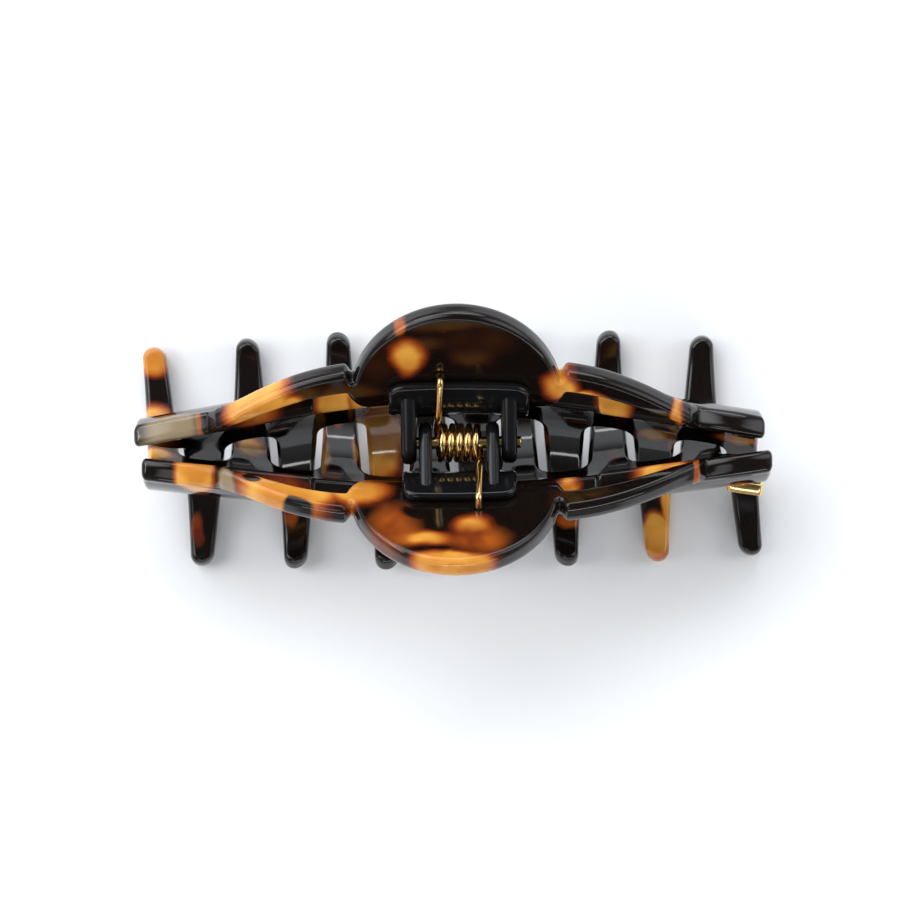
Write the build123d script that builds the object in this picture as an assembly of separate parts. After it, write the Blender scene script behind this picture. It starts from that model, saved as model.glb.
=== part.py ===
from build123d import *
import os
from math import acos, asin, atan2, cos, degrees, hypot, radians, sin, tan

os.makedirs("parts", exist_ok=True)

# A claw hair clip, closed, standing on the undersides of its teeth. Millimetres.
# X runs along the pin, the back jaw's thumb plate leans to +Y, +Z is up.
# Everything is modelled from the pin's axis and raised when it is written.

# Acetate sheet, and the section that it is bent to
SHEET = 3.5
WAIST_GAP = 6.1           # middle plane to the sheet's inner face, level with the pin
WAIST_BEND = 6.25         # bend radius at the waist, at the middle of the sheet
FLARE = 43.6              # lean of a thumb plate from upright, degrees
BELLY_LEAN = 17.9         # lean of the sheet where the belly's arc begins, degrees
TOOTH_BEND = 18.5         # radius of the arc of belly and teeth, at the middle of the sheet

# Plan curve of a jaw: an arc in the middle and straight ends
BOW_REACH = 25.0          # half the length of the bowed stretch
BACK_BOW = 152.0          # radius of the back jaw's bow, at its waist
FRONT_BOW = 212.0         # radius of the front jaw's bow, which is a little flatter

# Cut pattern of a jaw. Heights run along the sheet, up from the waist.
JAW_LENGTH = 98.9
JAW_SHIFT = 0.55          # each jaw sits this far off the middle of the pin
BACK_CROWN = 1.1          # thumb plate and shoulders' tops sit this far off the back jaw's middle
FRONT_CROWN = 0.35
BACK_STEPS = 0.6          # the steps to the ends sit this far off it
FRONT_STEPS = -0.5
THUMB_HALF = 16.1         # half width of the thumb plate at its foot
THUMB_TOP = 20.0
THUMB_FOOT = 6.7
SHOULDER_RUN = 1.0        # run of the small rise from the thumb plate's foot to the shoulder
SHOULDER_START = 8.8      # height of the shoulder's top edge there
SHOULDER_CREST = 7.3      # its height half way along
SHOULDER_END = 2.6        # its height at the step to the end
END_LENGTH = 12.2         # from the top of that step to the end of the jaw
STEP_RUN = 1.3            # run of the step, which slopes
END_FOOT = 0.9            # height of the end's top edge at the foot of the step
END_CREST = 2.0
END_TIP = 0.8             # its height at the end face
FREE_CORNER = 11.0        # height of the rounded lower corner of the free end, above the roots
FREE_RISE = 0.9           # how far above the roots the free end's lower edge meets the first tooth

# Windows between the shoulder bands and the toothed bar
BAND_START = 4.2          # width of a band beside the thumb plate
BAND_MIDDLE = 3.6
BAND_END = 1.6
BAR_TOP = -0.8            # height of the bar's top edge near the middle
BAR_STEP = 1.6            # rise of the bar's top edge further out
STEP_REACH = 22.3         # from the jaw's middle to that rise
WINDOW_LEAN = 3.0         # how far the window reaches in under the thumb plate
WINDOW_BULGE = 0.5        # rounding of that end
WINDOW_END = 1.2          # from the shoulder's step to the window's outer tip

# Teeth
TEETH = 7
TOOTH_PITCH = 14.2        # spacing of the middle teeth at their roots
TOOTH_OPENING = 0.0022    # how the spacing grows away from the middle of the row
TOOTH_SPREAD = 1.02       # spacing of the tips over that of the roots
ROW_MIDDLE = 4.25         # from the jaw's middle to the middle tooth
TOOTH_ROOT = 6.9          # width at the root
TOOTH_TIP = 3.9           # width where the tip's rounding starts
TIP_ROUND = 1.97          # radius of that rounding
ROOT_HEIGHT = -18.4       # height of the notches between the teeth
NOTCH_ROUND = 3.1         # corner radius of a notch
TIP_REACH = 19.05         # from the middle plane to the tips of the middle teeth
BACK_RETREAT = 1.1        # how much shorter the reach is at the ends of the back jaw
FRONT_RETREAT = 2.0

# Hinge
HINGE_SHIFT = 0.9         # the hinge sits this far off the middle of the clip
PIN_RADIUS = 0.95
PIN_CLEARANCE = 0.05      # radial running clearance in the arms
PIN_PROUD = 0.7           # how far the pin's end stands out of the last arm
PIN_CHAMFER = 0.2
BLIND_WALL = 0.7          # wall that closes the first arm's bore
KNUCKLE = 3.3             # outer radius of the arms round the pin
SEAT_GAP = 0.1            # between a bracket and its thumb plate
BRACKET = 1.5             # thickness of a bracket's plate
BRACKET_TOP = 6.6         # heights of its top and bottom edges along the sheet
BRACKET_BOTTOM = -2.6
BRACKET_ROUND = 1.4       # corner radius of the plate
BACK_BRACKET_HALF = 11.0  # half width of the back bracket's plate
FRONT_BRACKET_HALF = 8.9
ARM_TOP = 6.0             # heights between which an arm leaves its plate
ARM_BOTTOM = -2.2
BACK_ARM = 2.5            # thickness of the back bracket's arms
FRONT_ARM = 2.1
ARM_GAP = 0.3             # between a back arm and the front arm beside it
COIL_ROOM = 0.15          # between the coil's ends and the front arms

# Spring
WIRE = 1.05
COIL_RADIUS = 2.6         # at the middle of the wire
COIL_PITCH = 1.3
COIL_TURNS = 5            # whole turns, to which the legs add a part of one
LEG_START = -10.0         # angle round the pin at which a leg leaves the coil, degrees
LEG_BEAD = 0.55           # radius of the wire's rounding at that turn
LEG_RISE = 5.4            # straight run of a leg up from the coil
LEG_BEND = 2.5            # bend radius part way up a leg
LEG_GAP = 0.1             # between a leg and the bracket's rim
LEG_PAST_RIM = 1.3        # how far a leg runs on past the rim before it turns in
LEG_HOOK = 0.9            # bend radius where the leg turns into the thumb plate
LEG_DRIFT = 0.7           # how far a leg leans along the pin
HOLE_DEPTH = 2.0
HOLE_GAP = 0.2            # radial clearance of a leg in its hole

# Band on the back jaw's last tooth
BAND_WALL = 0.45
BAND_GAP = 0.2
BAND_WIDTH = 2.3
BAND_PLACE = -26.9        # height of its middle along the tooth

FAR = 60.0                # reach of the cutting tools past the part

flare = radians(FLARE)
belly_lean = radians(BELLY_LEAN)
flare_start = WAIST_BEND * flare
belly_start = -WAIST_BEND * belly_lean
waist_out = WAIST_GAP + SHEET / 2
waist_centre = waist_out + WAIST_BEND
belly_out = waist_centre - (WAIST_BEND + TOOTH_BEND) * cos(belly_lean)
belly_up = -(WAIST_BEND + TOOTH_BEND) * sin(belly_lean)
pin_height = TOOTH_BEND + SHEET / 2 - belly_up

half_length = JAW_LENGTH / 2
shoulder_reach = half_length - END_LENGTH
shoulder_start = THUMB_HALF + SHOULDER_RUN
window_reach = shoulder_reach - WINDOW_END
straight_run = half_length - BOW_REACH + 3 * SHEET

coil_length = COIL_PITCH * (COIL_TURNS + 0.5 + 2 * LEG_START / 360)
front_arm_inner = (coil_length + WIRE) / 2 + COIL_ROOM
back_arm_inner = front_arm_inner + FRONT_ARM + ARM_GAP
back_arm_outer = back_arm_inner + BACK_ARM
bracket_seat = SHEET / 2 + SEAT_GAP
bracket_face = bracket_seat + BRACKET


def section(height, inward=0.0):
    """Out, up and lean of the bent sheet at a pattern height, moved from mid-sheet to its inner side."""
    if height > flare_start:
        lean, run = flare, height - flare_start
        out = waist_centre - WAIST_BEND * cos(lean) + run * sin(lean)
        up = WAIST_BEND * sin(lean) + run * cos(lean)
    elif height > belly_start:
        lean = height / WAIST_BEND
        out, up = waist_centre - WAIST_BEND * cos(lean), WAIST_BEND * sin(lean)
    else:
        lean = (belly_start - height) / TOOTH_BEND - belly_lean
        out, up = belly_out + TOOTH_BEND * cos(lean), belly_up - TOOTH_BEND * sin(lean)
    return out - inward * cos(lean), up + inward * sin(lean), lean


def up_sheet(height):
    """Direction up the sheet at a pattern height, as out and up."""
    lean = section(height)[2]
    return sin(lean), cos(lean)


def bow(x, out, radius):
    """Y of a jaw's section at x, where it stands out from the pin, and its turn in plan in degrees."""
    turn = asin(BOW_REACH / radius)
    reach = radius - waist_out + out
    side = -1 if x > 0 else 1
    if abs(x) < reach * sin(turn):
        local = asin(abs(x) / reach)
        return reach * cos(local) - radius + waist_out, side * degrees(local)
    y = reach * cos(turn) - (abs(x) - reach * sin(turn)) * tan(turn)
    return y - radius + waist_out, side * degrees(turn)


def on_sheet(height, x, radius, inward=0.0):
    """Location on the sheet: local x along the jaw, y up the sheet, z to its inner side."""
    out, up, _ = section(height, inward)
    run_out, run_up = up_sheet(height)
    y, turn = bow(x, out, radius)
    touching = Plane(origin=(0, 0, 0), x_dir=(1, 0, 0), z_dir=(0, -run_up, run_out))
    return Location((x, y, up), (0, 0, turn)) * touching.location


def sheet_face(low, high, inner, outer):
    """Section of the sheet between two pattern heights and two offsets, in the YZ plane."""
    breaks = [low] + [b for b in (belly_start, flare_start) if low < b < high] + [high]

    def point(height, inward):
        out, up, _ = section(height, inward)
        return (0, out, up)

    edges = []
    for inward in (inner, outer):
        for start, end in zip(breaks, breaks[1:]):
            first, last = point(start, inward), point(end, inward)
            if start >= flare_start:
                edges.append(Line(first, last))
            else:
                edges.append(ThreePointArc(first, point((start + end) / 2, inward), last))
    edges.append(Line(point(low, inner), point(low, outer)))
    edges.append(Line(point(high, inner), point(high, outer)))
    return make_face(edges)


def bowed(face, radius):
    """Carry a section along a jaw's plan curve."""
    axis = Axis((0, waist_out - radius, 0), (0, 0, 1))
    turn = asin(BOW_REACH / radius)
    shell = revolve(face.rotate(axis, -degrees(turn)), axis, 2 * degrees(turn))
    for side in (-1, 1):
        along = Vector(side * cos(turn), -sin(turn), 0)
        shell += extrude(face.rotate(axis, -side * degrees(turn)), straight_run, dir=along)
    return shell


def pattern_tool(plane, middle, radius, arcs, lines):
    """Cutter through the sheet, from arcs and lines given as x and pattern height."""
    touching = on_sheet(plane, middle, radius)

    def place(point):
        x, height = point
        out, up, _ = section(height)
        across = Plane(touching).to_local_coords(Vector(x, bow(x, out, radius)[0], up))
        return across.X, across.Y

    edges = [ThreePointArc(*(place(point) for point in arc)) for arc in arcs]
    edges += [Line(place(start), place(end)) for line in lines for start, end in zip(line, line[1:])]
    return touching * extrude(make_face(edges), FAR / 2, both=True)


def crown_tools(radius, crown, steps):
    """What is cut away above the thumb plate, the shoulders and the ends."""
    high = THUMB_TOP + FAR
    foot, other = (crown - THUMB_HALF, THUMB_FOOT), (crown + THUMB_HALF, THUMB_FOOT)
    tools = [
        pattern_tool(
            THUMB_TOP / 2, crown, radius,
            [(foot, (crown, THUMB_TOP), other)],
            [(other, (crown + shoulder_start, SHOULDER_START), (crown + shoulder_reach, high),
              (crown - shoulder_reach, high), (crown - shoulder_start, SHOULDER_START), foot)],
        )
    ]
    for side in (-1, 1):
        start = (crown + side * shoulder_start, SHOULDER_START)
        end = (steps + side * shoulder_reach, SHOULDER_END)
        middle = (start[0] + end[0]) / 2
        foot = (crown + side * THUMB_HALF, THUMB_FOOT)
        tools.append(pattern_tool(
            SHOULDER_CREST, middle, radius,
            [(start, (middle, SHOULDER_CREST), end)],
            [(end, (side * half_length, high), (foot[0], high), foot, start)],
        ))
        start = (end[0] + side * STEP_RUN, END_FOOT)
        crest = (start[0] + side * half_length) / 2
        tip = (side * half_length, END_TIP)
        outer = side * (half_length + SHEET)
        tools.append(pattern_tool(
            END_CREST, crest, radius,
            [(start, (crest, END_CREST), tip)],
            [(tip, (outer, END_TIP), (outer, high), (end[0], high), end, start)],
        ))
    return tools


def window_tool(side, radius, crown, steps):
    """The opening between a shoulder band and the bar."""
    top = (crown + side * shoulder_start, SHOULDER_START - BAND_START)
    tip = (steps + side * window_reach, SHOULDER_END - BAND_END)
    middle = ((top[0] + tip[0] + side * WINDOW_END) / 2, SHOULDER_CREST - BAND_MIDDLE)
    tier = BAR_TOP + BAR_STEP
    low_inner = (crown + side * (THUMB_HALF - WINDOW_LEAN), BAR_TOP)
    bulge = ((top[0] + low_inner[0]) / 2 + side * WINDOW_BULGE, (top[1] + BAR_TOP) / 2)
    step = crown + side * STEP_REACH
    return pattern_tool(
        (top[1] + BAR_TOP) / 2, middle[0], radius,
        [(top, middle, tip), (top, bulge, low_inner)],
        [(low_inner, (step, BAR_TOP), (step, tier), (tip[0], tier), tip)],
    )


def tip_height(x, radius, retreat):
    """Pattern height of the tip of a tooth at x, from its reach across the middle plane."""
    reach = TIP_REACH - retreat * (x / half_length) ** 2
    out = -2 * reach - bow(x, -reach, radius)[0]
    return belly_start - (acos((out - belly_out) / TOOTH_BEND) + belly_lean) * TOOTH_BEND


def teeth(radius, retreat):
    """Root x, tip x and pattern height of the middle of the tip's rounding, for each tooth."""
    rows = []
    for index in range(TEETH):
        place = index - (TEETH - 1) / 2
        offset = TOOTH_PITCH * place * (1 + TOOTH_OPENING * place ** 2)
        tip_x = ROW_MIDDLE + offset * TOOTH_SPREAD
        rows.append((ROW_MIDDLE + offset, tip_x, tip_height(tip_x, radius, retreat) + TOOTH_TIP / 2))
    return rows


def chord(height):
    """How far below the roots a pattern height lies, in the plane across root and tip."""
    run_out, run_up = chord_run
    out, up, _ = section(height)
    return (root_out - out) * run_out + (root_up - up) * run_up


def below_roots(x, radius):
    """Everything below the roots of the teeth, as the sheet runs at x."""
    return on_sheet(ROOT_HEIGHT, x, radius) * Pos(0, -FAR / 2, 0) * Box(3 * FAR, FAR, 2 * FAR)


def notch_tool(left, right, radius):
    """The gap between two teeth, or between an end of the jaw and the tooth beside it."""
    deep = -FAR / 2
    rise = 3 * SHEET
    sides = []
    for tooth, hand in ((left, 1), (right, -1)):
        if tooth is None:
            outer = -hand * (half_length + FAR)
            sides.append([(outer, rise), (outer, deep)])
            continue
        root_x, tip_x, end = tooth
        root_side = min(root_x + hand * TOOTH_ROOT / 2, half_length)
        slope = (tip_x + hand * TOOTH_TIP / 2 - root_side) / chord(end)
        sides.append([(root_side - slope * rise, rise), (root_side - slope * deep, deep)])
    middle = max(-half_length, min(half_length, (sides[0][0][0] + sides[1][0][0]) / 2))
    out, up, _ = section(ROOT_HEIGHT)
    y, _ = bow(middle, out, radius)
    across = Plane(origin=(0, y, up), x_dir=(1, 0, 0), z_dir=(0, -chord_run[1], chord_run[0]))
    outline = Polygon(*sides[0], sides[1][1], sides[1][0], align=None)
    tool = across.location * extrude(outline, 3 * SHEET, both=True) & below_roots(middle, radius)
    if left is None or right is None:
        return tool
    root_face = tool.faces().sort_by(Axis.Z)[-1]
    return fillet(root_face.edges().sort_by(lambda edge: abs(edge.tangent_at(0.5).X))[:2], NOTCH_ROUND)


def tip_tool(tooth, radius):
    """What is cut away round the tip of a tooth."""
    _, tip_x, end = tooth
    blank = Pos(0, -FAR / 4, 0) * Box(TOOTH_PITCH, FAR / 2, 4 * SHEET)
    return on_sheet(end, tip_x, radius) * (blank - Cylinder(TIP_ROUND, 5 * SHEET))


def corner_tool(tooth, radius):
    """The rounded lower corner of the free end, as far as the tooth beside it."""
    root = (tooth[0] - TOOTH_ROOT / 2, ROOT_HEIGHT + FREE_RISE)
    side = (-half_length, ROOT_HEIGHT + FREE_CORNER)
    share = 1 - sin(radians(45))
    bend = (side[0] + (root[0] - side[0]) * share, root[1] + (side[1] - root[1]) * share)
    outer = -half_length - SHEET
    low = ROOT_HEIGHT - SHEET
    return pattern_tool(
        ROOT_HEIGHT + FREE_CORNER / 2, -half_length, radius,
        [(side, bend, root)],
        [(root, (root[0], low), (outer, low), (outer, side[1]), side)],
    )


def leg_points():
    """Out and up of the corners of a spring's leg, seen along the pin."""
    start = radians(LEG_START)
    foot = (COIL_RADIUS * cos(start), COIL_RADIUS * sin(start))
    knee = (foot[0] - LEG_RISE * sin(start), foot[1] + LEG_RISE * cos(start))
    rim = section(BRACKET_TOP, bracket_face + LEG_GAP + WIRE / 2)
    run = (rim[0] - knee[0], rim[1] - knee[1])
    share = 1 + LEG_PAST_RIM / hypot(*run)
    turn_in = (knee[0] + run[0] * share, knee[1] + run[1] * share)
    depth = HOLE_DEPTH - HOLE_GAP - SHEET / 2
    height = flare_start + (turn_in[0] - section(flare_start)[0]) * sin(flare) \
        + (turn_in[1] - section(flare_start)[1]) * cos(flare)
    return [foot, knee, turn_in, section(height, -depth)[:2]], height


def make_jaw(radius, crown, steps, retreat, hinge_x):
    """One jaw, on the +Y side: the bent sheet, trimmed to its outline and cut into teeth."""
    rows = teeth(radius, retreat)
    lowest = min(row[2] for row in rows) - TOOTH_TIP
    jaw = bowed(sheet_face(lowest, THUMB_TOP + SHEET / 2, SHEET / 2, -SHEET / 2), radius)
    jaw -= Pos(half_length + FAR / 2, 0, 0) * Box(FAR, 4 * FAR, 4 * FAR) - below_roots(half_length, radius)
    jaw -= Pos(-half_length - FAR / 2, 0, 0) * Box(FAR, 4 * FAR, 4 * FAR)
    for tool in crown_tools(radius, crown, steps):
        jaw -= tool
    for side in (-1, 1):
        jaw -= window_tool(side, radius, crown, steps)
    for left, right in zip([None] + rows, rows + [None]):
        jaw -= notch_tool(left, right, radius)
    jaw -= corner_tool(rows[0], radius)
    for tooth in rows:
        jaw -= tip_tool(tooth, radius)
    hole_height = leg_points()[1]
    hole = Cylinder(WIRE / 2 + HOLE_GAP, HOLE_DEPTH + SHEET, align=(Align.CENTER, Align.CENTER, Align.MIN))
    jaw -= on_sheet(hole_height, hinge_x - leg_x, radius, SHEET / 2 - HOLE_DEPTH) * hole
    return jaw


def tangent_point(point, radius, hand):
    """Where a line from a point touches a circle round the pin."""
    distance = hypot(*point)
    angle = atan2(point[1], point[0]) + hand * acos(radius / distance)
    return radius * cos(angle), radius * sin(angle)


def make_bracket(radius, hinge_x, half, arm_inner, arm):
    """A hinge bracket, on the +Y side: a plate that follows the sheet, and two arms to the pin."""
    face = sheet_face(BRACKET_BOTTOM, BRACKET_TOP, bracket_face, bracket_seat)
    plate = bowed(face, radius) & Pos(hinge_x, 0, 0) * Box(2 * half, 4 * FAR, 4 * FAR)
    corners = [
        edge for edge in plate.edges()
        if abs(edge.length - BRACKET) < BRACKET / 100 and abs(edge.center().X - hinge_x) > 0.99 * half
    ]
    bracket = fillet(corners, BRACKET_ROUND)
    for side in (-1, 1):
        x = hinge_x + side * (arm_inner + arm / 2)
        foot = []
        for height in (ARM_TOP, (ARM_TOP + ARM_BOTTOM) / 2, ARM_BOTTOM):
            out, up, _ = section(height, bracket_seat + BRACKET / 2)
            foot.append((bow(x, out, radius)[0], up))
        outline = [tangent_point(foot[0], KNUCKLE, 1), *foot, tangent_point(foot[-1], KNUCKLE, -1)]
        place = Pos(x, 0, 0)
        bracket += place * extrude(Plane.YZ * Polygon(*outline, align=None), arm / 2, both=True)
        bracket += place * Rot(0, 90, 0) * Cylinder(KNUCKLE, arm)
    return bracket


def bore(start, end):
    """The pin's bore between two places along X."""
    turned = Pos((start + end) / 2, 0, 0) * Rot(0, 90, 0)
    return turned * Cylinder(PIN_RADIUS + PIN_CLEARANCE, end - start)


def make_pin():
    """The pin, from inside the first arm to a little past the last."""
    start = -back_arm_outer + BLIND_WALL + PIN_CLEARANCE
    end = back_arm_outer + PIN_PROUD
    pin = Pos((start + end) / 2, 0, 0) * Rot(0, 90, 0) * Cylinder(PIN_RADIUS, end - start)
    return chamfer(pin.edges().filter_by(GeomType.CIRCLE), PIN_CHAMFER)


def make_spring():
    """The coil round the pin and its two legs, each turned into a hole in its thumb plate."""
    start = radians(LEG_START)
    wound = Plane(origin=(-coil_length / 2, 0, 0), x_dir=(0, cos(start), sin(start)), z_dir=(1, 0, 0))
    helix = wound.location * Helix(COIL_PITCH, coil_length, COIL_RADIUS, lefthand=True)
    wire = Plane(origin=helix @ 0, z_dir=helix % 0) * Circle(WIRE / 2)
    spring = sweep(wire, path=helix, is_frenet=True)
    corners, _ = leg_points()
    leans = (0, LEG_DRIFT / 2, LEG_DRIFT, LEG_DRIFT)
    points = [(-coil_length / 2 + lean, out, up) for lean, (out, up) in zip(leans, corners)]
    route = FilletPolyline(*points, radius=(LEG_BEND, LEG_HOOK))
    leg = sweep(Plane(origin=route @ 0, z_dir=route % 0) * Circle(WIRE / 2), path=route)
    bead = Pos(*points[0]) * Sphere(LEG_BEAD)
    for part in (bead, leg):
        spring = spring + part + part.rotate(Axis.Z, 180)
    return spring


def make_tooth_band(radius):
    """The plain sleeve on the back jaw's last tooth."""
    root_x, tip_x, end = teeth(radius, BACK_RETREAT)[-1]
    share = chord(BAND_PLACE) / chord(end)
    left = root_x - TOOTH_ROOT / 2 + (tip_x - root_x + (TOOTH_ROOT - TOOTH_TIP) / 2) * share
    right = half_length + (tip_x + TOOTH_TIP / 2 - half_length) * share
    half = (right - left) / 2
    x = (right + left) / 2
    out = section(BAND_PLACE)[0]
    y, turn = bow(x, out, radius)

    def ring(height, gap):
        face = sheet_face(BAND_PLACE - height / 2, BAND_PLACE + height / 2, SHEET / 2 + gap, -SHEET / 2 - gap)
        block = Pos(0, -out, 0) * extrude(face, 2 * TOOTH_ROOT, dir=(1, 0, 0), both=True)
        slab = Pos(x, 0, 0) * Box(2 * (half + gap), 4 * FAR, 4 * FAR)
        return (Location((x, y, 0), (0, 0, turn)) * block) & slab

    return ring(BAND_WIDTH, BAND_GAP + BAND_WALL) - ring(2 * BAND_WIDTH, BAND_GAP)


root_out, root_up, _ = section(ROOT_HEIGHT)
middle_tip = section(tip_height(0, (BACK_BOW + FRONT_BOW) / 2, 0))
chord_length = hypot(root_out - middle_tip[0], root_up - middle_tip[1])
chord_run = ((root_out - middle_tip[0]) / chord_length, (root_up - middle_tip[1]) / chord_length)

leg_x = coil_length / 2 - LEG_DRIFT
back_hinge_x = JAW_SHIFT + HINGE_SHIFT
front_hinge_x = JAW_SHIFT - HINGE_SHIFT
back_jaw = make_jaw(BACK_BOW, BACK_CROWN, BACK_STEPS, BACK_RETREAT, back_hinge_x)
front_jaw = make_jaw(FRONT_BOW, FRONT_CROWN, FRONT_STEPS, FRONT_RETREAT, front_hinge_x)
back_bracket = make_bracket(BACK_BOW, back_hinge_x, BACK_BRACKET_HALF, back_arm_inner, BACK_ARM)
back_bracket -= bore(back_hinge_x - back_arm_outer + BLIND_WALL, FAR)
front_bracket = make_bracket(FRONT_BOW, front_hinge_x, FRONT_BRACKET_HALF, front_arm_inner, FRONT_ARM)
front_bracket -= bore(-FAR, FAR)

to_back = Pos(-JAW_SHIFT, 0, 0)
to_front = Pos(JAW_SHIFT, 0, 0) * Rot(0, 0, 180)
to_hinge = Pos(HINGE_SHIFT, 0, 0)
pieces = {
    "back_jaw": to_back * back_jaw,
    "front_jaw": to_front * front_jaw,
    "back_bracket": to_back * back_bracket,
    "front_bracket": to_front * front_bracket,
    "hinge_pin": to_hinge * make_pin(),
    "spring": to_hinge * make_spring(),
    "tooth_band": to_back * make_tooth_band(BACK_BOW),
}
for name, piece in pieces.items():
    export_step(Pos(0, 0, pin_height) * piece, f"parts/{name}.step")
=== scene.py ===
"""Claw hair clip of bent tortoiseshell acetate, closed, standing on its teeth.

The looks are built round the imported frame: two acetate jaws cut from a flat pattern and bent, two
black moulded brackets, a gold pin, a gold torsion spring and a plain gold band on one tooth. The
clip's sizes are in millimetres from the pin's axis; what stands in the scene is in metres, +Z up.
"""
import logging
import math
from dataclasses import dataclass
from enum import Enum
from typing import Any, Callable, Dict, Iterable, List, Optional, Sequence, Tuple

import bmesh
import bpy
from mathutils import Matrix, Vector
from mathutils.geometry import delaunay_2d_cdt


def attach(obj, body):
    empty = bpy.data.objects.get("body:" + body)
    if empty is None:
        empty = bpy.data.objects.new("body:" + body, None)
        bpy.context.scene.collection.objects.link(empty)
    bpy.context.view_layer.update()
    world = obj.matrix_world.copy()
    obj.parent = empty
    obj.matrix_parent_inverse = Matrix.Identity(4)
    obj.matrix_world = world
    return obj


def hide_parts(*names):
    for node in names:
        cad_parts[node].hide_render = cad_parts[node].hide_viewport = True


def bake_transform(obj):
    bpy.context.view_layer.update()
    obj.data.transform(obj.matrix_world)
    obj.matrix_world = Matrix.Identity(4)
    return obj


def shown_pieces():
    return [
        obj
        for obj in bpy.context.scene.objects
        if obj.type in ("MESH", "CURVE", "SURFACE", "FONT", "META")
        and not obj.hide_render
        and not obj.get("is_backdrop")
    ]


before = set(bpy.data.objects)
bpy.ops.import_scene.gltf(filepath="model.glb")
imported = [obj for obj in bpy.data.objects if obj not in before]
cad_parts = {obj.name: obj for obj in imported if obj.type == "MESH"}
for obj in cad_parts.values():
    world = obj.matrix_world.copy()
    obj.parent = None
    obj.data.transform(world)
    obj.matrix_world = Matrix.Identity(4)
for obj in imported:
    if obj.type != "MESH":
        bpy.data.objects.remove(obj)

logging.basicConfig(level=logging.INFO, format="%(levelname)s %(message)s")
LOG = logging.getLogger("claw_clip")

Point = Tuple[float, float]
Loop = List[Point]
Ring = List[bmesh.types.BMVert]
Triple = Tuple[float, float, float]

MM = 0.001

# Acetate sheet, and the section and plan curve that it is bent to
SHEET = 3.5
WAIST_GAP = 6.1                    # middle plane to the sheet's inner face, level with the pin
WAIST_BEND = 6.25                  # bend radius at the waist, at the middle of the sheet
FLARE = math.radians(43.6)         # lean of a thumb plate from upright
BELLY_LEAN = math.radians(17.9)    # lean of the sheet where the belly's arc begins
TOOTH_BEND = 18.5                  # radius of the arc of belly and teeth
BOW_REACH = 25.0                   # half the length of a jaw's bowed stretch
BACK_BOW = 152.0                   # radius of the back jaw's bow, at its waist
FRONT_BOW = 212.0                  # radius of the front jaw's bow, which is a little flatter
JAW_SHIFT = 0.55                   # a jaw's middle sits this far off the clip's, before it is turned
HINGE_SHIFT = 0.9                  # the hinge's middle sits this far off the clip's

# Bracket plates, which follow the sheet
SEAT_GAP = 0.1                     # between a bracket and its thumb plate
BRACKET = 1.5                      # thickness of a plate
BRACKET_TOP = 6.6                  # height of its top edge along the sheet

# Division of the meshes, and the rounding of their edges
OUTLINE_STEP = 0.45                # spacing of the points of an outline
TIP_STEP = OUTLINE_STEP * 0.7      # and round the tip of a tooth
GRID_STEP = 0.55                   # spacing of the points inside a face
GRID_CLEAR = 0.55                  # how far they keep off the loops, as a share of that spacing
RIM_ROUND = 0.8                    # how far the tumbled edges' rounding reaches over the faces
RIM_DEPTH = 1.25                   # how far it reaches over the cut edge
RIM_SUPPORT = 0.08                 # distance of the loops that keep the flats flat
RIM_STEPS = 6                      # segments of each rounded edge
CORNER_STEPS = 6                   # segments of each rounded corner of an outline
CORNER_SHARP = 0.02                # a corner stays sharp where its rounding is shorter than this
MITRE_LIMIT = 0.45                 # the least cosine with which a mitred corner is stretched
EPSILON = 1e-6
TINY = 1e-9                        # lengths closer than this are the same
WELD = 1e-7                        # points of a face closer than this are one

FLARE_START = WAIST_BEND * FLARE
BELLY_START = -WAIST_BEND * BELLY_LEAN
WAIST_OUT = WAIST_GAP + SHEET / 2
WAIST_CENTRE = WAIST_OUT + WAIST_BEND
BELLY_OUT = WAIST_CENTRE - (WAIST_BEND + TOOTH_BEND) * math.cos(BELLY_LEAN)
BELLY_UP = -(WAIST_BEND + TOOTH_BEND) * math.sin(BELLY_LEAN)
PIN_HEIGHT = TOOTH_BEND + SHEET / 2 - BELLY_UP
BRACKET_SEAT = SHEET / 2 + SEAT_GAP
BRACKET_MIDDLE = BRACKET_SEAT + BRACKET / 2
BRACKET_FACE = BRACKET_SEAT + BRACKET


class Slot(Enum):
    """Material slots of the record."""

    ACETATE = "acetate"
    BLACK = "black_plastic"
    GOLD = "gold"


class Body(Enum):
    """Rigid bodies of the frame."""

    BACK = "back"
    FRONT = "front"


# Bend of the sheet


def section(height: float, inward: float = 0.0) -> Triple:
    """Section of the bent sheet.

    Args:
        height: distance up the sheet from the waist.
        inward: distance from the middle of the sheet towards its inner side.

    Returns:
        Out from the middle plane, up from the pin, and the lean of the sheet in radians.
    """
    if height > FLARE_START:
        lean = FLARE
        run = height - FLARE_START
        out = WAIST_CENTRE - WAIST_BEND * math.cos(lean) + run * math.sin(lean)
        up = WAIST_BEND * math.sin(lean) + run * math.cos(lean)
    elif height > BELLY_START:
        lean = height / WAIST_BEND
        out = WAIST_CENTRE - WAIST_BEND * math.cos(lean)
        up = WAIST_BEND * math.sin(lean)
    else:
        lean = (BELLY_START - height) / TOOTH_BEND - BELLY_LEAN
        out = BELLY_OUT + TOOTH_BEND * math.cos(lean)
        up = BELLY_UP - TOOTH_BEND * math.sin(lean)
    return out - inward * math.cos(lean), up + inward * math.sin(lean), lean


def from_pin(x: float, y: float, up: float) -> Vector:
    """A point given from the middle of the pin, as a place in the scene."""
    return Vector((HINGE_SHIFT + x, y, PIN_HEIGHT + up)) * MM


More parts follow.
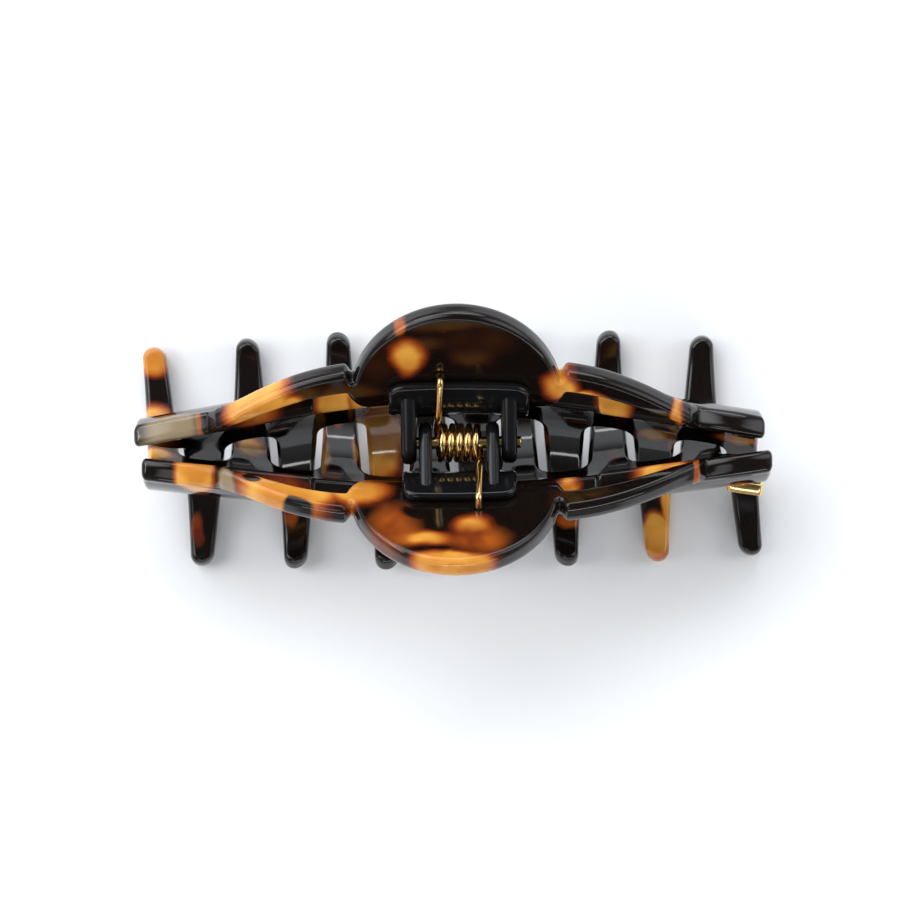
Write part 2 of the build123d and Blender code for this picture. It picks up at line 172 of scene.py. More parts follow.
@dataclass(frozen=True)
class Bend:
    """How a flat pattern is bent and where it stands.

    Attributes:
        radius: radius of the bow in plan, at the waist.
        turned: the half is turned round to the front.
    """

    radius: float
    turned: bool = False

    @property
    def hinge_x(self) -> float:
        """X of the hinge's middle in the pattern."""
        return JAW_SHIFT - HINGE_SHIFT if self.turned else JAW_SHIFT + HINGE_SHIFT

    def bow(self, x: float, out: float) -> float:
        """Distance of the bowed sheet from the middle plane.

        Args:
            x: place along the jaw.
            out: how far the section stands out there.

        Returns:
            The distance, before the half is turned.
        """
        turn = math.asin(BOW_REACH / self.radius)
        reach = self.radius - WAIST_OUT + out
        if abs(x) < reach * math.sin(turn):
            return math.sqrt(reach * reach - x * x) - self.radius + WAIST_OUT
        y = reach * math.cos(turn) - (abs(x) - reach * math.sin(turn)) * math.tan(turn)
        return y - self.radius + WAIST_OUT

    def place(self, x: float, height: float, inward: float) -> Vector:
        """A point of the bent sheet, as a place in the scene."""
        out, up, _ = section(height, inward)
        return self.stand(x, self.bow(x, out), up)

    def stand(self, x: float, y: float, up: float) -> Vector:
        """A point given along the jaw, out and up from the pin's axis, as a place in the scene."""
        side = -1.0 if self.turned else 1.0
        return Vector((side * (x - JAW_SHIFT), side * y, PIN_HEIGHT + up)) * MM


# Outlines


def arc(first: Point, middle: Point, last: Point, step: float = OUTLINE_STEP) -> Loop:
    """Points of the circle's arc through three points, both ends included.

    Args:
        first: start of the arc.
        middle: a point on it.
        last: its end.
        step: longest distance between two points.

    Returns:
        The points in order.
    """
    (ax, ay), (bx, by), (cx, cy) = first, middle, last
    aa, bb, cc = ax * ax + ay * ay, bx * bx + by * by, cx * cx + cy * cy
    area = 2 * (ax * (by - cy) + bx * (cy - ay) + cx * (ay - by))
    centre_x = (aa * (by - cy) + bb * (cy - ay) + cc * (ay - by)) / area
    centre_y = (aa * (cx - bx) + bb * (ax - cx) + cc * (bx - ax)) / area
    radius = math.hypot(ax - centre_x, ay - centre_y)
    start = math.atan2(ay - centre_y, ax - centre_x)
    passing = math.atan2(by - centre_y, bx - centre_x)
    end = math.atan2(cy - centre_y, cx - centre_x)
    sweep = (end - start) % math.tau
    if (passing - start) % math.tau > sweep:
        sweep -= math.tau
    count = max(3, math.ceil(abs(sweep) * radius / step))
    angles = [start + sweep * k / count for k in range(count + 1)]
    return [(centre_x + radius * math.cos(a), centre_y + radius * math.sin(a)) for a in angles]


def straight(first: Point, last: Point, step: float = OUTLINE_STEP) -> Loop:
    """Points of a straight run, both ends included.

    Args:
        first: start of the run.
        last: its end.
        step: longest distance between two points.

    Returns:
        The points in order.
    """
    (ax, ay), (bx, by) = first, last
    count = max(2, math.ceil(math.hypot(bx - ax, by - ay) / step))
    return [(ax + (bx - ax) * k / count, ay + (by - ay) * k / count) for k in range(count + 1)]


def trimmed(run: Loop, cut: float) -> Loop:
    """Cut a length off the start of a run.

    Args:
        run: the run's points.
        cut: the length.

    Returns:
        The rest of the run, from the point where it is cut.
    """
    left = cut
    for index in range(len(run) - 1):
        (ax, ay), (bx, by) = run[index], run[index + 1]
        size = math.hypot(bx - ax, by - ay)
        if size > left + TINY:
            share = left / size
            return [(ax + (bx - ax) * share, ay + (by - ay) * share)] + run[index + 1:]
        left -= size
    return run[-2:]


def rounded_loop(runs: Sequence[Loop], radii: Sequence[float]) -> Loop:
    """Join runs end to start into a closed loop and round the corners between them.

    Args:
        runs: the runs, each starting where the last one ends.
        radii: rounding of the corner at each run's start.

    Returns:
        The closed loop, without its first point repeated.
    """
    cuts = []
    for index, run in enumerate(runs):
        (bx, by), (cx, cy), (ax, ay) = runs[index - 1][-2], run[0], run[1]
        turn = Vector((cx - bx, cy - by)).angle(Vector((ax - cx, ay - cy)))
        cuts.append(radii[index] * math.tan(turn / 2))
    loop: Loop = []
    for index, run in enumerate(runs):
        corner, body = run[0], run[1:]
        if cuts[index] < CORNER_SHARP:
            loop.append(corner)
        else:
            start = trimmed(runs[index - 1][::-1], cuts[index])[0]
            body = trimmed(run, cuts[index])
            for k in range(CORNER_STEPS):
                t = k / CORNER_STEPS
                loop.append(tuple(
                    start[a] * (1 - t) ** 2 + 2 * corner[a] * t * (1 - t) + body[0][a] * t * t
                    for a in (0, 1)
                ))
        end = cuts[(index + 1) % len(runs)]
        if end >= CORNER_SHARP:
            body = trimmed(body[::-1], end)[::-1]
        loop.extend(body[:-1])
    return loop


def inset(loop: Loop, distance: float) -> Loop:
    """Move a loop towards the material on its left, with mitred corners.

    Args:
        loop: the loop, anticlockwise round material and clockwise round a hole.
        distance: how far it moves.

    Returns:
        The moved loop, with as many points.
    """
    moved: Loop = []
    for k, (bx, by) in enumerate(loop):
        ax, ay = loop[k - 1]
        cx, cy = loop[(k + 1) % len(loop)]
        one = Vector((bx - ax, by - ay)).normalized()
        two = Vector((cx - bx, cy - by)).normalized()
        across = Vector((-one.y, one.x))
        normal = Vector((-(one.y + two.y), one.x + two.x))
        normal = normal.normalized() if normal.length > EPSILON else across
        scale = 1 / max(MITRE_LIMIT, normal.dot(across))
        moved.append((bx + normal.x * distance * scale, by + normal.y * distance * scale))
    return moved


def cells(low: float, high: float) -> range:
    """Numbers of the grid's lines from just below one place to just above another."""
    return range(math.floor(low / GRID_STEP), math.ceil(high / GRID_STEP) + 1)


def crossings(loop: Loop, y: float) -> List[float]:
    """X of each place where a closed loop crosses a height.

    Args:
        loop: the loop.
        y: the height.

    Returns:
        The places, in the loop's order.
    """
    found = []
    for k, (bx, by) in enumerate(loop):
        ax, ay = loop[k - 1]
        if (ay > y) != (by > y):
            found.append(ax + (y - ay) * (bx - ax) / (by - ay))
    return found


@dataclass(frozen=True)
class Cut:
    """Sizes of a jaw's flat cut pattern. Heights run up the sheet from the waist."""

    bow: float                      # radius of the bow in plan
    crown: float                    # thumb plate and shoulders' tops sit this far off the middle
    steps: float                    # the steps to the ends sit this far off it
    retreat: float                  # how much shorter the teeth reach at the ends of the jaw
    length: float = 98.9
    corner_round: float = 1.0       # rounding of the outer corners
    inner_round: float = 0.3        # rounding of the feet of thumb plate and steps

    thumb_half: float = 16.1        # half width of the thumb plate at its foot
    thumb_top: float = 20.0
    thumb_foot: float = 6.7
    shoulder_run: float = 1.0       # run of the small rise from there to the shoulder
    shoulder_start: float = 8.8     # height of the shoulder's top edge there
    shoulder_crest: float = 7.3     # its height half way along
    shoulder_end: float = 2.6       # its height at the step to the end
    end_length: float = 12.2        # from the top of that step to the end of the jaw
    step_run: float = 1.3           # run of the step, which slopes
    step_spacing: float = 0.2       # spacing of its points
    end_foot: float = 0.9           # height of the end's top edge at the foot of the step
    end_crest: float = 2.0
    end_tip: float = 0.8            # its height at the end face
    free_corner: float = 11.0       # how far above the roots the free end's lower corner begins
    free_rise: float = 0.9          # how far above them it meets the first tooth
    free_round: float = 0.5         # rounding of the corner there

    band_start: float = 4.2         # width of a shoulder's band beside the thumb plate
    band_middle: float = 3.6
    band_end: float = 1.6
    bar_top: float = -0.8           # height of the toothed bar's top edge near the middle
    bar_step: float = 1.6           # rise of that edge further out
    step_reach: float = 22.3        # from the jaw's middle to that rise
    window_lean: float = 3.0        # how far a window reaches in under the thumb plate
    window_bulge: float = 0.5       # rounding of that end
    window_end: float = 1.2         # from the shoulder's step to the window's outer tip
    window_rounds: Sequence[float] = (0.6, 0.15, 0.15, 0.65, 0.4, 0.5)   # from its inner top corner on
    tip_spacing: float = 0.15       # spacing of the points at a window's outer tip
    bar_spacing: float = 0.3        # and on the bar's rise

    teeth: int = 7
    tooth_pitch: float = 14.2       # spacing of the middle teeth at their roots
    tooth_opening: float = 0.0022   # how the spacing grows away from the middle of the row
    tooth_spread: float = 1.02      # spacing of the tips over that of the roots
    row_middle: float = 4.25        # from the jaw's middle to the middle tooth
    tooth_root: float = 6.9         # width at the root
    tooth_tip: float = 3.9          # width where the tip's rounding starts
    root_height: float = -18.4      # height of the notches between the teeth
    notch_round: float = 3.1        # rounding of a notch's corners
    tip_reach: float = 19.05        # from the middle plane to the tips of the middle teeth

    @property
    def half_length(self) -> float:
        """From the jaw's middle to its ends."""
        return self.length / 2

    @property
    def shoulder_x(self) -> float:
        """From the crown's middle to the start of a shoulder."""
        return self.thumb_half + self.shoulder_run

    @property
    def shoulder_reach(self) -> float:
        """From the middle of the steps to the top of a step."""
        return self.half_length - self.end_length

    @property
    def window_reach(self) -> float:
        """From the middle of the steps to a window's outer tip."""
        return self.shoulder_reach - self.window_end


BACK_CUT = Cut(bow=BACK_BOW, crown=1.1, steps=0.6, retreat=1.1)
FRONT_CUT = Cut(bow=FRONT_BOW, crown=0.35, steps=-0.5, retreat=2.0)


@dataclass(frozen=True)
class Tooth:
    """A tooth in the pattern.

    Attributes:
        root_x: its middle at the root.
        tip_x: its middle at the tip.
        end: height at which the tip's rounding starts.
    """

    root_x: float
    tip_x: float
    end: float


@dataclass
class JawPattern:
    """The flat cut pattern of a jaw: its outline, its teeth and its two windows.

    Attributes:
        cut: its sizes.
        bend: how it is bent, before it is turned.
        root: out and up of the roots of the teeth.
        run: direction from the middle tip to the root, out and up.
        teeth: its teeth, from -X to +X.
    """

    cut: Cut

    def __post_init__(self) -> None:
        """Work out the plane across root and tip, and the teeth."""
        cut = self.cut
        mean_bend = Bend((BACK_BOW + FRONT_BOW) / 2)
        root_out, root_up, _ = section(cut.root_height)
        tip_out, tip_up, _ = section(self.tip_height(0.0, mean_bend, 0.0))
        length = math.hypot(root_out - tip_out, root_up - tip_up)
        self.root = (root_out, root_up)
        self.run = ((root_out - tip_out) / length, (root_up - tip_up) / length)
        self.bend = Bend(cut.bow)
        self.teeth: List[Tooth] = []
        for index in range(cut.teeth):
            place = index - (cut.teeth - 1) / 2
            offset = cut.tooth_pitch * place * (1 + cut.tooth_opening * place ** 2)
            tip_x = cut.row_middle + offset * cut.tooth_spread
            end = self.tip_height(tip_x, self.bend, cut.retreat) + cut.tooth_tip / 2
            self.teeth.append(Tooth(cut.row_middle + offset, tip_x, end))

    def tip_height(self, x: float, bend: Bend, retreat: float) -> float:
        """Pattern height of a tooth's tip, from its reach across the middle plane.

        Args:
            x: place of the tip.
            bend: how the jaw is bent.
            retreat: how much shorter the reach is at the ends of the jaw.

        Returns:
            The height.
        """
        reach = self.cut.tip_reach - retreat * (x / self.cut.half_length) ** 2
        out = -2 * reach - bend.bow(x, -reach)
        angle = math.acos((out - BELLY_OUT) / TOOTH_BEND) + BELLY_LEAN
        return BELLY_START - angle * TOOTH_BEND

    def chord(self, height: float) -> float:
        """How far below the roots a pattern height lies, straight across root and tip."""
        out, up, _ = section(height)
        return (self.root[0] - out) * self.run[0] + (self.root[1] - up) * self.run[1]

    def side_at(self, tooth: Tooth, hand: int, height: float) -> float:
        """X of one side of a tooth.

        Args:
            tooth: the tooth.
            hand: -1 or 1 for the side.
            height: the pattern height.

        Returns:
            The side's x at that height.
        """
        root_side = min(tooth.root_x + hand * self.cut.tooth_root / 2, self.cut.half_length)
        tip_side = tooth.tip_x + hand * self.cut.tooth_tip / 2
        return root_side + (tip_side - root_side) * self.chord(height) / self.chord(tooth.end)

    def tooth_side(self, tooth: Tooth, hand: int) -> Loop:
        """One side of a tooth, from its root down to the start of its tip's rounding.

        Args:
            tooth: the tooth.
            hand: -1 or 1 for the side.

        Returns:
            The points in order.
        """
        root = self.cut.root_height
        count = math.ceil((root - tooth.end) / OUTLINE_STEP)
        heights = [root + (tooth.end - root) * k / count for k in range(count + 1)]
        return [(self.side_at(tooth, hand, height), height) for height in heights]

    def tip(self, tooth: Tooth) -> Loop:
        """The rounding of a tooth's tip, from its -X side to its +X side."""
        x, end, half = tooth.tip_x, tooth.end, self.cut.tooth_tip / 2
        return arc((x - half, end), (x, end - half), (x + half, end), TIP_STEP)

    def outline(self) -> Loop:
        """The outer loop, anticlockwise seen with x to the right and height up."""
        cut = self.cut
        runs: List[Loop] = []
        radii: List[float] = []

        def add(run: Loop, radius: float) -> None:
            """Add a run, and the rounding of the corner at its start."""
            runs.append(run)
            radii.append(radius)

        side = (-cut.half_length, cut.root_height + cut.free_corner)
        start = (self.teeth[0].root_x - cut.tooth_root / 2, cut.root_height + cut.free_rise)
        share = 1 - math.sqrt(0.5)  # half way along a quarter ellipse
        bend = (side[0] + (start[0] - side[0]) * share, start[1] + (side[1] - start[1]) * share)
        add(straight((-cut.half_length, cut.end_tip), side), cut.corner_round)
        add(arc(side, bend, start), 0)
        for index, tooth in enumerate(self.teeth):
            left, right = self.tooth_side(tooth, -1), self.tooth_side(tooth, 1)
            add(straight(start, left[0]), cut.notch_round if index else cut.free_round)
            add(left, cut.notch_round if index else 0)
            add(self.tip(tooth), 0)
            add(right[::-1], 0)
            start = right[0]
        add(straight((cut.half_length, cut.root_height), (cut.half_length, cut.end_tip)), 0)

        right, left = self.crown_side(1), self.crown_side(-1)
        outer, inner = cut.corner_round, cut.inner_round
        for run, radius in zip(right, (outer, inner, outer, outer)):
            add(run[::-1], radius)
        add(arc(right[-1][0], (cut.crown, cut.thumb_top), left[-1][0]), inner)
        for run, radius in zip(left[::-1], (inner, outer, outer, inner)):
            add(run, radius)
        return rounded_loop(runs, radii)

    def crown_side(self, side: int) -> List[Loop]:
        """The top edge between an end of the jaw and the thumb plate's foot.

        Args:
            side: -1 or 1 for the end.

        Returns:
            Its runs from the end inwards, each with its points towards the end.
        """
        cut = self.cut
        foot = (cut.crown + side * cut.thumb_half, cut.thumb_foot)
        start = (cut.crown + side * cut.shoulder_x, cut.shoulder_start)
        high = (cut.steps + side * cut.shoulder_reach, cut.shoulder_end)
        low = (high[0] + side * cut.step_run, cut.end_foot)
        tip = (side * cut.half_length, cut.end_tip)
        return [
            arc(low, ((low[0] + tip[0]) / 2, cut.end_crest), tip),
            straight(high, low, cut.step_spacing),
            arc(start, ((start[0] + high[0]) / 2, cut.shoulder_crest), high),
            straight(foot, start),
        ]

    def window(self, side: int) -> Loop:
        """A window's loop, clockwise round the hole, so that the material is on its left.

        Args:
            side: -1 or 1 for the window.

        Returns:
            The loop.
        """
        cut = self.cut
        top = (cut.crown + side * cut.shoulder_x, cut.shoulder_start - cut.band_start)
        tip = (cut.steps + side * cut.window_reach, cut.shoulder_end - cut.band_end)
        middle_x = (top[0] + tip[0] + side * cut.window_end) / 2
        tier = cut.bar_top + cut.bar_step
        step = cut.crown + side * cut.step_reach
        low = (cut.crown + side * (cut.thumb_half - cut.window_lean), cut.bar_top)
        bulge = ((top[0] + low[0]) / 2 + side * cut.window_bulge, (top[1] + low[1]) / 2)
        runs = [
            arc(top, (middle_x, cut.shoulder_crest - cut.band_middle), tip),
            straight(tip, (tip[0], tier), cut.tip_spacing),
            straight((tip[0], tier), (step, tier)),
            straight((step, tier), (step, cut.bar_top), cut.bar_spacing),
            straight((step, cut.bar_top), low),
            arc(low, bulge, top),
        ]
        radii = list(cut.window_rounds)
        if side < 0:
            runs = [run[::-1] for run in runs[::-1]]
            radii = [radii[0]] + radii[:0:-1]
        return rounded_loop(runs, radii)


# Meshes


def bridge(bm: bmesh.types.BMesh, rings: Sequence[Ring]) -> None:
    """Join rings of vertices with faces, each ring to the next.

    Args:
        bm: the mesh that they are in.
        rings: the rings, with equal counts; one with a single vertex closes an end.
    """
    for one, two in zip(rings, rings[1:]):
        for k in range(max(len(one), len(two))):
            corners = [one[k - 1], one[k]] if len(one) > 1 else list(one)
            corners += [two[k], two[k - 1]] if len(two) > 1 else list(two)
            bm.faces.new(corners)


def finished(name: str, bm: bmesh.types.BMesh, material: bpy.types.Material) -> bpy.types.Object:
    """Turn a bmesh into a smooth object at the origin, with one material and outward normals.

    Args:
        name: the piece's name.
        bm: its mesh, in metres where it stands; it is freed.
        material: its material.

    Returns:
        The new object.
    """
    bmesh.ops.recalc_face_normals(bm, faces=bm.faces[:])
    for face in bm.faces:
        face.smooth = True
    mesh = bpy.data.meshes.new(name)
    bm.to_mesh(mesh)
    bm.free()
    mesh.materials.append(material)
    obj = bpy.data.objects.new(name, mesh)
    bpy.context.scene.collection.objects.link(obj)
    return obj


def profile(half: float, rounding: float, depth: float) -> List[Tuple[float, float]]:
    """Rim of a plate from its inner side to its outer side.

    Args:
        half: half the plate's thickness.
        rounding: how far the rounded edges reach over the faces.
        depth: how far they reach over the cut edge.

    Returns:
        Pairs of how far in from the outline and how far inward from mid-plate.
    """
    rim = [(rounding + RIM_SUPPORT, half)]
    for k in range(RIM_STEPS + 1):
        angle = math.pi / 2 * k / RIM_STEPS
        rim.append((rounding * (1 - math.sin(angle)), half - depth * (1 - math.cos(angle))))
    rim.append((0.0, half - depth - RIM_SUPPORT))
    return rim + [(0.0, 0.0)] + [(distance, -inward) for distance, inward in rim[::-1]]


@dataclass(frozen=True)
class Dimple:
    """A blind hole in the inner face of a plate.

    Attributes:
        centre: its middle in the pattern.
        radius: its radius at the mouth.
        depth: its depth.
        sides: corners of its circle.
    """

    centre: Point
    radius: float
    depth: float
    sides: int = 24

    def circle(self, share: float = 1.0) -> Loop:
        """The circle with a share of its radius."""
        x, y = self.centre
        size = self.radius * share
        angles = [math.tau * k / self.sides for k in range(self.sides)]
        return [(x + size * math.cos(angle), y + size * math.sin(angle)) for angle in angles]


# Wall of a dimple: share of its radius and depth below the face, down to its floor
DIMPLE_WALL = ((1.0, 0.0), (0.95, 0.03), (0.92, 0.12))


@dataclass
class BentPlate:
    """A flat plate with rounded rims, bent to the sheet's section and bow.

    Attributes:
        name: the piece's name.
        bend: how it is bent and where it stands.
        outline: its outer loop, anticlockwise.
        holes: the loops of its holes, clockwise.
        thickness: its thickness.
        offset: distance of its middle from mid-sheet towards the inner side.
        rounding: how far the rounding of its rims reaches over its faces.
        depth: how far it reaches over its cut edge.
        dimple: a blind hole in its inner face.
    """

    name: str
    bend: Bend
    outline: Loop
    holes: Sequence[Loop] = ()
    thickness: float = SHEET
    offset: float = 0.0
    rounding: float = RIM_ROUND
    depth: float = RIM_DEPTH
    dimple: Optional[Dimple] = None

    def build(self, material: bpy.types.Material) -> bpy.types.Object:
        """Build the plate.

        Args:
            material: its material.

        Returns:
            The plate as an object, whose vertices keep their place in the pattern.
        """
        bm = bmesh.new()
        layer = bm.verts.layers.float_vector.new("pattern")

        def vertex(point: Point, inward: float) -> bmesh.types.BMVert:
            """Add a vertex, given in the pattern and inward from mid-plate."""
            vert = bm.verts.new(self.bend.place(point[0], point[1], self.offset + inward))
            vert[layer] = (point[0], point[1], inward)
            return vert

        half = self.thickness / 2
        rim = profile(half, self.rounding, self.depth)
        loops = [self.outline, *self.holes]
        ends = []
        for loop in loops:
            rings = [[vertex(point, w) for point in inset(loop, distance)] for distance, w in rim]
            bridge(bm, rings)
            ends.append((rings[0], rings[-1]))
        for side, inward in enumerate((half, -half)):
            shapes = [inset(loop, rim[0][0]) for loop in loops]
            rings = [pair[side] for pair in ends]
            if self.dimple and inward > 0:
                shapes.append(self.dimple.circle())
                rings.append(self._sink(bm, vertex))
            self._fill(bm, vertex, shapes, rings, inward)
        return finished(self.name, bm, material)

    def _sink(self, bm: bmesh.types.BMesh, vertex: Callable) -> Ring:
        """Make the wall and floor of the dimple.

        Args:
            bm: the plate's mesh.
            vertex: adds a vertex of the plate.

        Returns:
            The vertices of its mouth.
        """
        half = self.thickness / 2
        steps = [*DIMPLE_WALL, (DIMPLE_WALL[-1][0], self.dimple.depth)]
        rings = [[vertex(point, half - down) for point in self.dimple.circle(share)] for share, down in steps]
        bridge(bm, rings)
        bm.faces.new(rings[-1])
        return rings[0]

    @staticmethod
    def _near(loops: Sequence[Loop]) -> set:
        """Find the grid points that lie too close to a loop.

        Args:
            loops: the loops.

        Returns:
            Their columns and rows.
        """
        gap = GRID_STEP * GRID_CLEAR
        near = set()
        for loop in loops:
            for k, (bx, by) in enumerate(loop):
                ax, ay = loop[k - 1]
                parts = max(1, math.ceil(math.hypot(bx - ax, by - ay) / (GRID_STEP / 3)))
                for j in range(parts):
                    px, py = ax + (bx - ax) * j / parts, ay + (by - ay) * j / parts
                    near.update(
                        (column, row)
                        for column in cells(px - gap, px + gap) for row in cells(py - gap, py + gap)
                        if math.hypot(column * GRID_STEP - px, row * GRID_STEP - py) < gap
                    )
        return near

    def _inner_points(self, loops: Sequence[Loop]) -> List[Point]:
        """Grid points that lie inside the face and clear of its loops.

        Args:
            loops: the outer loop and the loops of the holes.

        Returns:
            The points, row by row.
        """
        columns, rows = (cells(min(line), max(line)) for line in zip(*loops[0]))
        near = self._near(loops)
        points = []
        for row in rows:
            spans = [crossings(loop, row * GRID_STEP) for loop in loops]
            for column in columns:
                x = column * GRID_STEP
                outer, *holes = [sum(c < x for c in span) % 2 for span in spans]
                if outer and not any(holes) and (column, row) not in near:
                    points.append((x, row * GRID_STEP))
        return points

    def _fill(self, bm: bmesh.types.BMesh, vertex: Callable, shapes: Sequence[Loop],
              rings: Sequence[Ring], inward: float) -> None:
        """Fill a face between its loops with an even net of triangles.

        Args:
            bm: the plate's mesh.
            vertex: adds a vertex of the plate.
            shapes: the outer loop and the loops of the holes.
            rings: the vertices of each loop.
            inward: distance of the face from mid-plate.
        """
        flat: List[Vector] = []
        edges: List[Tuple[int, int]] = []
        verts: Ring = []
        for shape, ring in zip(shapes, rings):
            base, count = len(flat), len(shape)
            flat.extend(Vector(point) for point in shape)
            verts.extend(ring)
            edges.extend((base + k, base + (k + 1) % count) for k in range(count))
        points = self._inner_points(shapes)
        verts.extend(vertex(point, inward) for point in points)
        flat.extend(Vector(point) for point in points)
        coords, _, faces, originals, _, _ = delaunay_2d_cdt(flat, edges, [], 1, WELD)
        index = [source[0] if source else None for source in originals]
        for face in faces:
            corners = [index[k] for k in face]
            if None in corners or len(set(corners)) < 3:
                continue
            x = sum(coords[k].x for k in face) / 3
            y = sum(coords[k].y for k in face) / 3
            if not any(sum(x < c for c in crossings(hole, y)) % 2 for hole in shapes[1:]):
                bm.faces.new([verts[k] for k in corners])


# Shader nodes


class Nodes:
    """A short way to build a node tree: add nodes, set their inputs and link their sockets by name."""

    def __init__(self, tree: bpy.types.NodeTree) -> None:
        """Empty a tree to work on it.

        Args:
            tree: the node tree of a material, a group or the world.
        """
        self.tree = tree
        tree.nodes.clear()

    def add(self, kind: str, settings: Optional[Dict[str, Any]] = None, **inputs: Any) -> bpy.types.Node:
        """Add a node.

        Args:
            kind: the node's type.
            settings: properties of the node itself.
            **inputs: inputs by name, underscores for spaces; a socket is linked and a value is set.

        Returns:
            The node.
        """
        node = self.tree.nodes.new(kind)
        for key, value in (settings or {}).items():
            setattr(node, key, value)
        for key, value in inputs.items():
            self.feed(node, key.replace("_", " "), value)
        return node

    def feed(self, node: bpy.types.Node, name: str, value: Any) -> None:
        """Link or set one input.

        Args:
            node: the node.
            name: the input's name, or "in" and its number.
            value: the socket to link or the value to set.
        """
        socket = node.inputs[int(name[3:])] if name.startswith("in ") else node.inputs[name]
        if isinstance(value, bpy.types.NodeSocket):
            self.tree.links.new(value, socket)
        else:
            socket.default_value = value

    def math(self, operation: str, one: Any, two: Any = 0.0, three: Any = 0.0,
             clamp: bool = False) -> bpy.types.NodeSocket:
        """The result of a Math node."""
        settings = {"operation": operation, "use_clamp": clamp}
        return self.add("ShaderNodeMath", settings, in_0=one, in_1=two, in_2=three).outputs["Value"]

    def vector(self, operation: str, one: Any, two: Any = (0, 0, 0), output: str = "Vector"
               ) -> bpy.types.NodeSocket:
        """The result of a Vector Math node."""
        settings = {"operation": operation}
        return self.add("ShaderNodeVectorMath", settings, in_0=one, in_1=two).outputs[output]

    def noise(self, output: str = "Fac", settings: Optional[Dict[str, Any]] = None, **inputs: Any
              ) -> bpy.types.NodeSocket:
        """The result of a Noise Texture node."""
        return self.add("ShaderNodeTexNoise", settings, **inputs).outputs[output]

    def mix(self, factor: Any, one: Any, two: Any) -> bpy.types.NodeSocket:
        """A colour between two, by a factor."""
        return self.add("ShaderNodeMix", {"data_type": "RGBA"}, in_0=factor, in_6=one, in_7=two).outputs[2]

    def spread(self, value: Any, low: float, high: float) -> bpy.types.NodeSocket:
        """A smooth rise from 0 to 1 between two values."""
        node = self.add("ShaderNodeMapRange", {"interpolation_type": "SMOOTHSTEP"}, Value=value,
                        From_Min=low, From_Max=high)
        return node.outputs["Result"]


def new_group(name: str, inputs: Dict[str, Any], outputs: Dict[str, str]
              ) -> Tuple[Nodes, Dict[str, bpy.types.NodeSocket], bpy.types.Node]:
    """Start a node group with named sockets.

    Args:
        name: the group's name.
        inputs: default of each input by its name, a vector or a number.
        outputs: socket type of each output by its name.

    Returns:
        Its nodes, its inputs by name inside the group, and its output node.
    """
    n = Nodes(bpy.data.node_groups.new(name, "ShaderNodeTree"))
    for label, default in inputs.items():
        kind = "NodeSocketFloat" if isinstance(default, float) else "NodeSocketVector"
        n.tree.interface.new_socket(label, in_out="INPUT", socket_type=kind).default_value = default
    for label, kind in outputs.items():
        n.tree.interface.new_socket(label, in_out="OUTPUT", socket_type=kind)
    enter = n.add("NodeGroupInput")
    return n, {label: enter.outputs[label] for label in inputs}, n.add("NodeGroupOutput")


def patch_group() -> bpy.types.NodeTree:
    """Group: a soft-edged ellipse in the pattern, as a mask on top of another mask."""
    n, given, leave = new_group(
        "Patch",
        {"Vector": (0, 0, 0), "Centre": (0, 0, 0), "Reach": (1, 1, 1), "Soft": 0.25, "Before": 0.0},
        {"Mask": "NodeSocketFloat"},
    )
    share = n.vector("DIVIDE", n.vector("SUBTRACT", given["Vector"], given["Centre"]), given["Reach"])
    near = n.math("SUBTRACT", 1.0, n.vector("LENGTH", share, output="Value"))
    mask = n.math("ADD", n.math("DIVIDE", near, given["Soft"]), 0.5, clamp=True)
    n.feed(leave, "Mask", n.math("MAXIMUM", mask, given["Before"]))
    return n.tree


def stir_group() -> bpy.types.NodeTree:
    """Group: pattern coordinates stirred by noise, as the colours of a cast sheet are."""
    n, given, leave = new_group(
        "Stir",
        {"Vector": (0, 0, 0), "Amount": 1.0, "Scale": 0.1, "Seed": 0.0},
        {"Vector": "NodeSocketVector"},
    )
    noise = n.noise("Color", {"noise_dimensions": "4D"}, Vector=given["Vector"], W=given["Seed"],
                    Scale=given["Scale"], Detail=1.0, Roughness=0.45)
    centred = n.vector("SUBTRACT", noise, (0.5, 0.5, 0.5))
    sized = n.add("ShaderNodeVectorMath", {"operation": "SCALE"}, in_0=centred, Scale=given["Amount"])
    n.feed(leave, "Vector", n.vector("ADD", given["Vector"], sized.outputs["Vector"]))
    return n.tree


def polish_group() -> bpy.types.NodeTree:
    """Group: faint smears and hairlines that vary a polish."""
    n, given, leave = new_group(
        "Polish",
        {"Vector": (0, 0, 0), "Base": 0.08, "Spread": 0.05, "Scale": 300.0},
        {"Roughness": "NodeSocketFloat", "Height": "NodeSocketFloat"},
    )
    smear = n.noise(Vector=given["Vector"], Scale=given["Scale"], Detail=3.0)
    hairline_scale = n.math("MULTIPLY", given["Scale"], HAIRLINE_SCALE)
    hairline = n.noise(Vector=given["Vector"], Scale=hairline_scale, Detail=2.0)
    swing = n.math("MULTIPLY", n.math("SUBTRACT", smear, 0.5), given["Spread"])
    n.feed(leave, "Roughness", n.math("ADD", given["Base"], swing))
    n.feed(leave, "Height", n.math("ADD", smear, n.math("MULTIPLY", hairline, HAIRLINE_HEIGHT)))
    return n.tree


# Colours and finishes

BLACK_BROWN = (0.0045, 0.0028, 0.0022, 1)
RED_BROWN = (0.085, 0.012, 0.004, 1)
ORANGE = (0.28, 0.066, 0.008, 1)
AMBER = (0.40, 0.155, 0.022, 1)
HONEY = (0.56, 0.285, 0.048, 1)
OLIVE = (0.20, 0.155, 0.095, 1)
BLACK_PLASTIC = (0.0040, 0.0042, 0.0046, 1)
DEEP_GOLD = (0.92, 0.60, 0.22, 1)
PALE_GOLD = (0.98, 0.72, 0.33, 1)
PAPER = (0.60, 0.612, 0.632, 1)
DAYLIGHT = (0.90, 0.93, 0.97, 1)
PATCH_DEPTH = 9.0                  # reach of a patch through the sheet, well past its faces
HAIRLINE_SCALE = 9.0               # how much finer hairlines are than smears
HAIRLINE_HEIGHT = 0.2              # and how much lower

